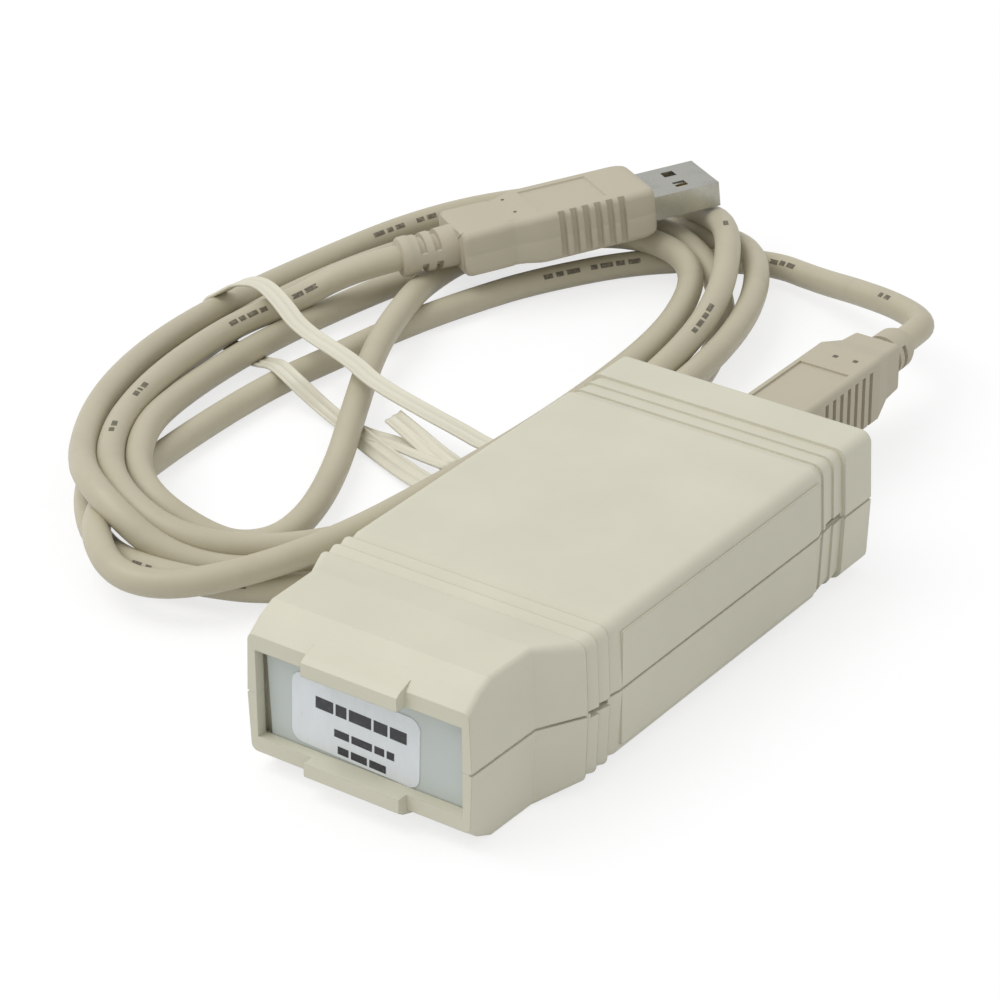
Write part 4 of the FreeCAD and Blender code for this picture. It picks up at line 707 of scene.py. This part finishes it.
@dataclass
class FlatPlugMoulding:
    """Grip and strain relief of the flat plug, worked out in the plug's own axes.

    Sizes are in millimetres, measured back from the front of the grip.
    """

    stations: tuple[Station, ...] = (
        Station(0.0, 6.3, 3.7, 1.2), Station(0.25, 6.75, 4.15, 1.3), Station(0.8, 7.2, 4.42, 1.4),
        Station(1.8, 7.5, 4.57, 1.4), Station(3.0, 7.6, 4.6, 1.3), Station(21.5, 7.6, 4.6, 1.3),
        Station(22.8, 7.46, 4.54, 1.3), Station(24.0, 7.12, 4.44, 1.35),
        Station(25.2, 6.8, 4.33, 1.4), Station(26.4, 6.6, 4.25, 1.4),
        Station(27.3, 6.55, 4.22, 1.4), Station(27.7, 6.72, 4.22, 1.4),
        Station(31.0, 6.85, 4.22, 1.4), Station(35.5, 6.9, 4.2, 1.4),
        Station(36.1, 6.75, 4.08, 1.4), Station(36.5, 6.3, 3.7, 1.3))
    groove_start: float = 6.1
    groove_count: int = 6
    groove_pitch: float = 2.3
    groove_width: float = 1.2
    groove_depth: float = 0.75
    groove_top: float = 4.35
    field_start: float = 8.7
    field_end: float = 21.6
    field_half: float = 5.1
    field_depth: float = 0.32
    seam_depth: float = 0.04
    wall: float = 0.14
    corner_steps: int = 7
    relief_start: float = 35.5
    relief: tuple[tuple[float, float], ...] = (
        (35.5, 3.8), (39.4, 3.62), (40.9, 3.55), (43.6, 3.48), (44.6, 3.5), (44.9, 3.66),
        (46.2, 3.64), (46.6, 3.45), (46.8, 3.0))
    slots: tuple[tuple[float, float], ...] = ((39.6, 40.9), (42.3, 43.6))
    core: float = 2.75
    relief_steps: int = 72
    upper_slot: tuple[float, float] = (18.0, 160.0)
    lower_slot: tuple[float, float] = (205.0, 345.0)

    def width_at(self, back: float) -> Station:
        """Give the moulding's section at a distance from its front."""
        for near, far in zip(self.stations, self.stations[1:]):
            if near.back <= back <= far.back:
                share = (back - near.back) / (far.back - near.back)
                return Station(back, near.wide + (far.wide - near.wide) * share,
                               near.high + (far.high - near.high) * share,
                               near.corner + (far.corner - near.corner) * share)
        return self.stations[-1]

    def groove_edges(self) -> list[tuple[float, float]]:
        """Give where each grip groove starts and ends."""
        starts = [self.groove_start + index * self.groove_pitch
                  for index in range(self.groove_count)]
        return [(start, start + self.groove_width) for start in starts]

    def cuts(self) -> list[float]:
        """Give every place along the grip that needs a ring of points."""
        places = [station.back for station in self.stations]
        for start, end in self.groove_edges() + [(self.field_start, self.field_end)]:
            places += [start - self.wall / 2, start + self.wall / 2, end - self.wall / 2,
                       end + self.wall / 2]
        return sorted(set(round(place, 4) for place in places))

    def outline(self, station: Station) -> list[tuple[float, float]]:
        """Give a section's rounded outline, with points where field, seam and grooves need them."""
        wide, high, corner = station.wide, station.high, station.corner
        quarter = []
        for index in range(self.corner_steps + 1):
            angle = math.radians(90 * index / self.corner_steps)
            quarter.append((wide - corner + corner * math.cos(angle),
                            high - corner + corner * math.sin(angle)))
        side = [(wide, 0.0), (wide, self.wall), (wide, 1.6)]
        top = [(self.field_half + self.wall, high), (self.field_half, high), (2.4, high)]
        upper_right = side + quarter + top
        upper_left = [(-x, z) for x, z in reversed(upper_right[1:])]
        upper_left.append((-wide, 0.0))
        lower = [(x, -z) for x, z in reversed(upper_right[1:] + [(0.0, high)] + upper_left[:-1])]
        return upper_right + [(0.0, high)] + upper_left + lower

    def pressed(self, back: float, x: float, z: float, station: Station) -> tuple[float, float]:
        """Press a point of the outline in where a groove, the field or the seam is."""
        if self.field_start < back < self.field_end and z > station.high - 0.01:
            if abs(x) <= self.field_half + 0.001:
                return x, z - self.field_depth
        for start, end in self.groove_edges():
            if start < back < end and z < self.groove_top and abs(x) > station.wide - 1.2:
                return math.copysign(min(abs(x), station.wide - self.groove_depth), x), z
        if abs(z) < 0.001 and abs(x) > station.wide - 0.01:
            return math.copysign(abs(x) - self.seam_depth, x), z
        return x, z

    def grip(self) -> list[list[Point]]:
        """Give the rings of the grip."""
        rings = []
        for back in self.cuts():
            station = self.width_at(back)
            flat = [self.pressed(back, x, z, station) for x, z in self.outline(station)]
            rings.append([(x, -back, z) for x, z in flat])
        return rings

    def sleeve(self) -> list[list[Point]]:
        """Give the rings of the strain relief, with its slots."""
        places = [back for back, _ in self.relief]
        for start, end in self.slots:
            places += [start, start + self.wall / 2, end - self.wall / 2, end]
        rings = []
        for back in sorted(set(places)):
            radius = self.radius_at(back)
            cut = any(start < back < end for start, end in self.slots)
            ring = []
            for index in range(self.relief_steps):
                turn = 360 * index / self.relief_steps
                open_here = any(low < turn < high for low, high in (self.upper_slot,
                                                                    self.lower_slot))
                reach = self.core if cut and open_here else radius
                ring.append((reach * math.cos(math.radians(turn)), -back,
                             reach * math.sin(math.radians(turn))))
            rings.append(ring)
        return rings

    def radius_at(self, back: float) -> float:
        """Give the strain relief's radius at a distance from the grip's front."""
        for (near, first), (far, second) in zip(self.relief, self.relief[1:]):
            if near <= back <= far:
                return first + (second - first) * (back - near) / (far - near)
        return self.relief[-1][1]

    def mesh(self, base: Vector, axes: tuple[Vector, Vector, Vector]) -> bpy.types.Mesh:
        """Build the moulding's mesh where the plug lies.

        Args:
            base: Middle of the grip's front, in metres.
            axes: The plug's axes: across it, towards its tip and out of its top.

        Returns:
            A mesh of two closed shells, the grip and the strain relief.
        """
        vertices, faces = [], []
        for rings in (self.grip(), self.sleeve()):
            count, first = len(rings[0]), len(vertices)
            for ring in rings:
                vertices += [base + (axes[0] * x + axes[1] * y + axes[2] * z) * MM
                             for x, y, z in ring]
            for row in range(len(rings) - 1):
                for side in range(count):
                    near = first + row * count + side
                    far = first + row * count + (side + 1) % count
                    faces.append((near, far, far + count, near + count))
            faces.append(tuple(range(first, first + count)))
            faces.append(tuple(range(len(vertices) - count, len(vertices))))
        mesh = bpy.data.meshes.new("plug_a_moulding")
        mesh.from_pydata(vertices, [], faces)
        recalculate(mesh)
        mesh.set_sharp_from_angle(angle=math.radians(38))
        return mesh


@dataclass
class Plugs:
    """The two moulded plugs of the lead, with painted shade where the mould's pins left small holes."""

    base: Vector = field(default_factory=lambda: Vector((-66.0, 121.7, 14.2)) * MM)
    yaw: float = math.radians(32.6)
    pitch: float = math.radians(4.1)
    roll: float = math.radians(3.4)
    top: float = 4.42 * MM
    holes: tuple[tuple[float, float], ...] = ((-4.0, -25.0), (2.3, -25.1))
    hole: float = 0.5 * MM
    square_holes: tuple[Point, ...] = ((-0.7, 80.5, 18.28), (2.95, 80.7, 18.28))
    square_hole: float = 0.8 * MM

    def dress(self) -> None:
        """Give the plugs' pieces their finishes."""
        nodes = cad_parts
        Finish.GRIP.on(nodes["plug_b_body"])
        Finish.STEEL.on(nodes["plug_a_shell"], nodes["plug_b_shell"])
        Finish.WHITE_BAR.on(nodes["plug_a_insulator"], nodes["plug_b_insulator"])
        Finish.CONTACT.on(nodes["plug_a_contacts"])
        LOG.info("plugs dressed")

    def axes(self) -> tuple[Vector, Vector, Vector]:
        """Give the flat plug's own axes: across it, towards its tip and out of its top."""
        along = Vector((math.sin(self.yaw) * math.cos(self.pitch),
                        math.cos(self.yaw) * math.cos(self.pitch), math.sin(self.pitch)))
        level = Vector((math.cos(self.yaw), -math.sin(self.yaw), 0))
        across = level * math.cos(self.roll) + level.cross(along) * math.sin(self.roll)
        return across, along, across.cross(along)

    def mould_grip(self) -> bpy.types.Object:
        """Make the flat plug's grip and strain relief."""
        mesh = FlatPlugMoulding().mesh(self.base, self.axes())
        piece = add_piece("plug_a_moulding", mesh)
        Finish.GRIP.on(piece)
        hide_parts("plug_a_body")
        LOG.info("plugs: flat plug's moulding, %d faces", len(mesh.polygons))
        return piece

    def paint_hole_shade(self, marker: Printer) -> bpy.types.Object:
        """Paint shade on top of both plugs: flat dark marks stand in for the shade in the small pin
        holes.
        """
        across, along, up = self.axes()
        # Painted shade: each flat dark mark stands in for the shade inside a pin hole.
        marks = [Mark(self.base + across * x * MM + along * y * MM + up * self.top,
                      along, up, self.hole) for x, y in self.holes]
        marks += [Mark(place, Vector((0, 1, 0)), Vector((0, 0, 1)), self.square_hole,
                       self.square_hole / self.hole) for place in metres(list(self.square_holes))]
        mesh = marker.marks("plug_pin_hole_shade", marks, self.hole, 1.0, Finish.HOLE_SHADE)
        piece = add_piece("plug_pin_hole_shade", mesh)
        LOG.info("plugs: %d pin marks", len(marks))
        return piece


@dataclass(frozen=True)
class Turn:
    """One turn of the coil: where it starts, which way it runs and how it lies.

    The turn is an oval about the coil's middle. Its points are equal steps apart, and each
    lies some way out, as a share of the oval, and at some height in millimetres.
    """

    start: float
    step: float
    reaches: tuple[float, ...]
    heights: tuple[float, ...]

    def points(self) -> list[Point]:
        """Give the turn's points in millimetres."""
        places = []
        for index, (reach, height) in enumerate(zip(self.reaches, self.heights)):
            angle = math.radians(self.start + index * self.step)
            places.append((COIL_X + COIL_HALF_WIDTH * reach * math.cos(angle),
                           COIL_Y + COIL_HALF_LENGTH * reach * math.sin(angle), height))
        return places


COIL_X = -74.0
COIL_Y = 64.0
COIL_HALF_WIDTH = 40.0
COIL_HALF_LENGTH = 80.0
TURN_STEP = 24.0

FIRST_TURN = Turn(
    72, TURN_STEP,
    (0.76, 0.49, 0.355, 0.305, 0.295, 0.335, 0.48, 0.745, 1.025, 1.23, 1.22, 1.055, 0.935, 0.915,
     0.885, 0.765),
    (2.4, 2.4, 2.4, 2.4, 2.5, 2.4, 2.6, 2.4, 7.9, 6.1, 8.4, 9.8, 8.3, 7.2, 6.7, 7.0))
LOWEST_TURN = Turn(
    288, -TURN_STEP,
    (0.895, 0.87, 0.78, 0.72, 0.665, 0.62, 0.64, 0.695, 0.755, 0.825, 0.95, 1.1, 1.2, 1.265, 1.23),
    (2.4, 8.2, 8.3, 4.7, 3.1, 2.7, 2.5, 2.4, 3.5, 7.7, 4.7, 2.7, 2.4, 2.4, 2.4))
MIDDLE_TURN = Turn(
    288, -TURN_STEP,
    (1.11, 1.0, 0.935, 0.89, 0.89, 0.87, 0.855, 0.86, 0.87, 0.885, 1.09, 1.185, 1.205, 1.185,
     1.115),
    (4.7, 2.4, 2.9, 2.5, 2.6, 2.6, 2.6, 2.4, 2.4, 4.6, 7.6, 7.0, 7.2, 5.7, 2.4))
TOP_TURN = Turn(
    288, -TURN_STEP,
    (1.045, 1.0, 0.945, 0.957, 0.995, 1.01, 1.005, 0.975, 0.945, 0.94, 0.995, 1.065, 1.075, 1.06,
     1.03),
    (3.6, 12.8, 8.6, 7.6, 5.2, 2.6, 3.8, 4.1, 4.6, 7.6, 12.6, 8.9, 7.4, 4.4, 3.5))
LAST_ARC = Turn(
    288, -TURN_STEP,
    (0.995, 0.935, 0.866, 0.82, 0.78),
    (5.5, 9.9, 9.2, 7.4, 6.2))


@dataclass(frozen=True)
class Print:
    """A stretch of print on the lead: where along it the row starts, and its dashes."""

    start: float
    dashes: tuple[float, ...]
    gap: float = 0.7


@dataclass
class Lead:
    """The lead from the square plug to the flat one, and its print."""

    diameter: float = 0.0046
    length: float = 1.8
    exit: Point = (0.0, 0.09975, 0.01255)
    ring: int = 8
    steps: int = 14
    mark_width: float = 0.0009
    leaving: tuple[Point, ...] = (
        (0, 99.75, 12.55), (0, 105.15, 12.55), (-0.9, 110.3, 12.1), (-8.5, 115.4, 11.0),
        (-20, 121.4, 8.3), (-32, 127.8, 4.7), (-46.5, 133.4, 2.6))
    crossing: tuple[Point, ...] = (
        (-78.9, 116, 5.7), (-88.8, 102.7, 4.9), (-89.4, 88.3, 4.5), (-83, 72.7, 7.6),
        (-79.6, 59.9, 5.6), (-70.7, 42.4, 3.6), (-60.5, 24, 3.3), (-54.1, 8, 3.6), (-55, -1, 3.0))
    arriving: tuple[Point, ...] = (
        (-101.5, 65.5, 6.2), (-96.0, 74.8, 10.3), (-90.4, 83.5, 10.95))
    facing: Point = (0.45, -0.66, 0.6)
    prints: tuple[Print, ...] = (
        Print(20.5, (1.6, 1.1)), Print(52.0, (2.1, 1.4, 2.2)), Print(61.0, (0.8, 1.6)),
        Print(84.5, (2.3, 1.7, 2.4, 1.3)), Print(96.5, (2.6, 1.5, 1.8)),
        Print(893.0, (1.6,)), Print(907.5, (1.1, 1.9)), Print(1421.5, (2.4, 1.3, 1.9)),
        Print(1431.3, (1.6, 2.0)), Print(1510.0, (1.9,)), Print(1539.0, (2.4, 1.7, 2.2, 1.4)),
        Print(1689.0, (1.4, 1.9)), Print(1704.0, (1.7, 0.7, 1.8)),
        Print(1738.3, (2.0, 1.5, 2.4, 1.6)), Print(1754.0, (2.2, 2.4)))

    def route(self) -> list[Vector]:
        """Give the whole route, plug to plug, as control points in metres."""
        points = list(self.leaving) + FIRST_TURN.points() + list(self.crossing)
        for turn in (LOWEST_TURN, MIDDLE_TURN, TOP_TURN, LAST_ARC):
            points += turn.points()
        return metres(points + list(self.arriving))

    def build(self) -> bpy.types.Object:
        """Make the lead as one round spline."""
        curve = bpy.data.curves.new("lead_cable", "CURVE")
        add_spline(curve, self.route())
        curve.resolution_u = self.steps
        curve.bevel_depth = 1.0
        curve.bevel_resolution = self.ring
        curve.use_fill_caps = True
        for point in curve.splines[0].points:
            point.radius = self.diameter / 2
        piece = add_piece("lead_cable", curve)
        Finish.LEAD.on(piece)
        LOG.info("lead: %d points on its route", len(self.route()))
        return piece

    def print_dashes(self, marker: Printer) -> bpy.types.Object:
        """Lay the rows of plain dashes along the lead, on the side that shows."""
        line = smooth_line(self.route(), self.steps)
        facing = Vector(self.facing).normalized()
        marks = []
        for row in self.prints:
            reach = row.start
            for dash in row.dashes:
                place, along = self.spot(line, (reach + dash / 2) * MM)
                outward = (facing - along * facing.dot(along)).normalized()
                marks.append(Mark(place + outward * (self.diameter / 2), along, outward,
                                  dash * MM))
                reach += dash + row.gap
        mesh = marker.marks("lead_print", marks, self.mark_width, self.diameter / 2,
                             Finish.LEAD_INK)
        LOG.info("lead: %d printed dashes", len(marks))
        return add_piece("lead_print", mesh)

    @staticmethod
    def spot(line: list[Vector], reach: float) -> tuple[Vector, Vector]:
        """Find the place and the direction of a line at some distance along it."""
        for start, end in zip(line, line[1:]):
            run = (end - start).length
            if reach <= run:
                along = (end - start).normalized()
                return start + along * reach, along
            reach -= run
        return line[-1], (line[-1] - line[-2]).normalized()

    def declare(self) -> None:
        """Hide the model's own cable pieces, which the new lead stands in for."""
        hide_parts("cable_lead", "cable_coil", "cable_bight", "cable_tail")


@dataclass
class TwistTie:
    """Flat tie with a wire in its middle and beaded edges, twisted together at its ends."""

    width: float = 3.6
    skin: float = 0.13
    bead: float = 0.2
    bead_size: float = 0.3
    wire: float = 0.2
    samples: int = 22
    loop: tuple[Point, ...] = (
        (-44.0, 36.3, 3.6), (-38.0, 38.0, 1.4), (-31.0, 39.0, 0.5), (-26.5, 40.3, 0.8),
        (-24.3, 41.0, 4.0), (-26.0, 41.0, 8.0), (-31.0, 41.5, 9.0), (-36.5, 42.2, 7.4),
        (-42.6, 42.6, 5.0), (-49.5, 43.4, 6.0), (-55.8, 43.6, 7.0), (-68.5, 45.2, 8.5),
        (-75.9, 48.8, 9.0), (-90.2, 53.2, 9.0), (-98.0, 57.8, 10.2), (-104.6, 60.7, 11.0),
        (-108.2, 59.4, 10.6), (-110.8, 59.2, 8.8), (-112.8, 59.6, 7.3), (-115.2, 60.0, 5.7),
        (-115.9, 59.6, 3.8), (-115.0, 58.6, 1.5), (-112.0, 56.0, 0.5), (-106.0, 54.2, 0.5),
        (-100.1, 52.5, 0.45), (-95.5, 49.4, 2.6), (-89.4, 45.6, 5.6), (-84.7, 43.6, 5.2),
        (-81.4, 43.6, 3.3), (-77.8, 43.5, 1.5), (-72.1, 41.6, 0.9), (-66.4, 40.0, 1.5),
        (-60.0, 39.0, 2.6), (-52.0, 37.0, 3.2), (-46.0, 36.2, 3.6))
    ends: tuple[tuple[Point, ...], ...] = (
        ((-43.5, 36.5, 2.6), (-47.8, 37.1, 3.5), (-51.5, 38.4, 3.8), (-55.1, 39.8, 4.2),
         (-58.5, 40.8, 4.8), (-61.9, 41.6, 5.6)),
        ((-43.4, 29.8, 2.4), (-50.0, 31.8, 2.0), (-56.9, 34.6, 1.7), (-64.2, 37.6, 1.6),
         (-68.0, 39.4, 1.5)))
    leans: tuple[Point, ...] = ((0.34, 0.68, 0.65), (0.27, 0.8, 0.45))
    twists: tuple[float, float] = (0.5, -0.25)

    def section(self) -> list[tuple[float, float]]:
        """Give the tie's section: half thickness at each place across its width."""
        places = []
        for index in range(self.samples + 1):
            across = (index / self.samples - 0.5) * self.width
            edge = abs(across) - self.width / 2 + self.bead_size
            rise = (self.skin + self.bead * math.exp(-(edge / self.bead_size) ** 2)
                    + self.wire * math.exp(-(across / self.bead_size) ** 2))
            if index in (0, self.samples):
                rise *= 0.5
            places.append((across * MM, rise * MM))
        return places

    def band(self, points: tuple[Point, ...], lean: Vector, twist: float
             ) -> tuple[list[Vector], list[tuple[int, ...]]]:
        """Sweep the section along a route.

        Args:
            points: The route in millimetres.
            lean: The way that the tie's width runs.
            twist: How far the width turns from one end to the other, in radians.

        Returns:
            Vertices and faces of a closed band.
        """
        line = smooth_line(metres(list(points)), 8)
        section = self.section()
        ring = [(x, half) for x, half in section] + [(x, -half) for x, half in reversed(section)]
        vertices, faces = [], []
        for index, place in enumerate(line):
            before, after = line[max(index - 1, 0)], line[min(index + 1, len(line) - 1)]
            along = (after - before).normalized()
            turn = Matrix.Rotation(twist * index / (len(line) - 1), 3, along)
            across = turn @ (lean - along * lean.dot(along)).normalized()
            upright = along.cross(across)
            vertices += [place + across * x + upright * z for x, z in ring]
        count = len(ring)
        for index in range(len(line) - 1):
            for side in range(count):
                near, far = index * count + side, index * count + (side + 1) % count
                faces.append((near, far, far + count, near + count))
        faces.append(tuple(reversed(range(count))))
        faces.append(tuple(range(len(vertices) - count, len(vertices))))
        return vertices, faces

    def build(self) -> bpy.types.Object:
        """Make the tie: its loop and its two ends."""
        vertices, faces = [], []
        lean = Vector((0.27, 0.96, 0.05))
        bands = [(self.loop, lean, 0.0)]
        bands += [(points, Vector(way), twist)
                  for points, way, twist in zip(self.ends, self.leans, self.twists)]
        for points, way, twist in bands:
            first = len(vertices)
            more, quads = self.band(points, way, twist)
            vertices += more
            faces += [tuple(first + corner for corner in quad) for quad in quads]
        mesh = bpy.data.meshes.new("tie_band")
        mesh.from_pydata(vertices, [], faces)
        recalculate(mesh)
        piece = add_piece("tie_band", mesh)
        Finish.TIE.on(piece)
        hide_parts("twist_tie")
        LOG.info("tie: loop and %d ends", len(self.ends))
        return piece


def recalculate(mesh: bpy.types.Mesh) -> None:
    """Point a closed mesh's faces outward and smooth its shading."""
    shape = bmesh.new()
    shape.from_mesh(mesh)
    bmesh.ops.recalc_face_normals(shape, faces=shape.faces)
    shape.to_mesh(mesh)
    shape.free()
    mesh.shade_smooth()


@dataclass
class Studio:
    """Pale floor, soft lamps and the camera at the photo's viewing angle."""

    camera_place: Point = (285.0018, -412.3597, 303.6078)
    azimuth: float = math.radians(35.62)
    elevation: float = math.radians(28.80)
    roll: float = math.radians(-0.31)
    lens: float = 140.12
    floor_size: float = 4.0
    floor_bounce: float = 0.74
    floor_shade: float = 0.28
    floor_glow: float = 0.74
    sky: float = 0.68
    key_power: float = 6.6
    key_place: Point = (-500.0, -350.0, 1100.0)
    key_size: float = 0.9

    def camera(self) -> None:
        """Place the camera."""
        data = bpy.data.cameras.new("photo_camera")
        data.lens = self.lens
        data.sensor_width = 36.0
        data.clip_start = 0.01
        data.clip_end = 20.0
        thing = bpy.data.objects.new("photo_camera", data)
        bpy.context.scene.collection.objects.link(thing)
        look = Vector((-math.sin(self.azimuth) * math.cos(self.elevation),
                       math.cos(self.azimuth) * math.cos(self.elevation),
                       -math.sin(self.elevation)))
        level = Vector((math.cos(self.azimuth), math.sin(self.azimuth), 0))
        right = Matrix.Rotation(-self.roll, 3, look) @ level
        up = right.cross(look)
        turn = Matrix((right, up, -look)).transposed()
        thing.matrix_world = Matrix.Translation(Vector(self.camera_place) * MM) @ turn.to_4x4()
        bpy.context.scene.camera = thing

    def floor(self) -> None:
        """Lay a white floor that keeps the modem's shadow."""
        half = self.floor_size / 2
        mesh = bpy.data.meshes.new("studio_floor")
        mesh.from_pydata([(-half, -half, 0), (half, -half, 0), (half, half, 0), (-half, half, 0)],
                         [], [(0, 1, 2, 3)])
        piece = bpy.data.objects.new("studio_floor", mesh)
        bpy.context.scene.collection.objects.link(piece)
        piece.location.z = -0.0001
        made = Shader("studio_floor")
        tree = made.tree
        made.set(Roughness=0.9, Specular_IOR_Level=0.0)
        glow = made.node("ShaderNodeEmission")
        glow.inputs["Color"].default_value = (1.0, 1.0, 1.0, 1.0)
        rays = made.node("ShaderNodeLightPath")
        seen = made.node("ShaderNodeMath", operation="MAXIMUM")
        made.link(rays.outputs["Is Camera Ray"], seen.inputs[0])
        made.link(rays.outputs["Is Glossy Ray"], seen.inputs[1])
        clear = made.node("ShaderNodeMath", operation="MAXIMUM")
        made.link(seen.outputs["Value"], clear.inputs[0])
        made.link(rays.outputs["Is Transmission Ray"], clear.inputs[1])
        tone = made.noise(0.5, 2.0)
        bounced = made.blend(tone, (self.floor_bounce,) * 3 + (1.0,),
                             (self.floor_bounce * 1.01,) * 3 + (1.0,))
        made.paint(made.blend(clear.outputs["Value"], bounced, (self.floor_shade,) * 3 + (1.0,)))
        amount = made.node("ShaderNodeMath", operation="MULTIPLY")
        made.link(clear.outputs["Value"], amount.inputs[0])
        amount.inputs[1].default_value = self.floor_glow
        made.link(amount.outputs["Value"], glow.inputs["Strength"])
        both = made.node("ShaderNodeAddShader")
        made.link(made.surface.outputs["BSDF"], both.inputs[0])
        made.link(glow.outputs["Emission"], both.inputs[1])
        made.link(both.outputs["Shader"], tree.nodes["Material Output"].inputs["Surface"])
        mesh.materials.append(made.material)

    def lamps(self) -> None:
        """Light the modem softly from above and the left, under a pale sky."""
        data = bpy.data.lights.new("key_lamp", "AREA")
        data.energy = self.key_power
        data.size = self.key_size
        lamp = bpy.data.objects.new("key_lamp", data)
        bpy.context.scene.collection.objects.link(lamp)
        place = Vector(self.key_place) * MM
        aim = Vector((-40.0, 40.0, 0.0)) * MM - place
        lamp.matrix_world = Matrix.Translation(place) @ aim.to_track_quat("-Z", "Y").to_matrix().to_4x4()
        world = bpy.data.worlds.new("pale_sky")
        world.use_nodes = True
        bpy.context.scene.world = world
        tree = world.node_tree
        sky = tree.nodes["Background"]
        sky.inputs["Color"].default_value = (1.0, 1.0, 1.0, 1.0)
        sky.inputs["Strength"].default_value = self.sky
        white = tree.nodes.new("ShaderNodeBackground")
        white.inputs["Color"].default_value = (1.0, 1.0, 1.0, 1.0)
        rays = tree.nodes.new("ShaderNodeLightPath")
        mix = tree.nodes.new("ShaderNodeMixShader")
        tree.links.new(rays.outputs["Is Camera Ray"], mix.inputs["Fac"])
        tree.links.new(sky.outputs["Background"], mix.inputs[1])
        tree.links.new(white.outputs["Background"], mix.inputs[2])
        tree.links.new(mix.outputs["Shader"], tree.nodes["World Output"].inputs["Surface"])

    def build(self) -> None:
        """Set up the studio."""
        self.camera()
        self.floor()
        self.lamps()
        bpy.context.scene.view_settings.view_transform = "Standard"
        LOG.info("studio ready")


def main() -> None:
    """Build the modem, piece by piece, and report each."""
    logging.basicConfig(level=logging.INFO, format="%(name)s: %(message)s")
    Studio().build()
    marker = new_marker()
    case = ModemCase()
    case.dress()
    case.print_label(marker)
    Electronics().dress()
    plugs = Plugs()
    plugs.dress()
    moulding = plugs.mould_grip()
    pin_hole_shade = plugs.paint_hole_shade(marker)
    lead = Lead()
    cable = lead.build()
    dashes = lead.print_dashes(marker)
    tie = TwistTie().build()
    lead.declare()


if __name__ == "__main__":
    main()
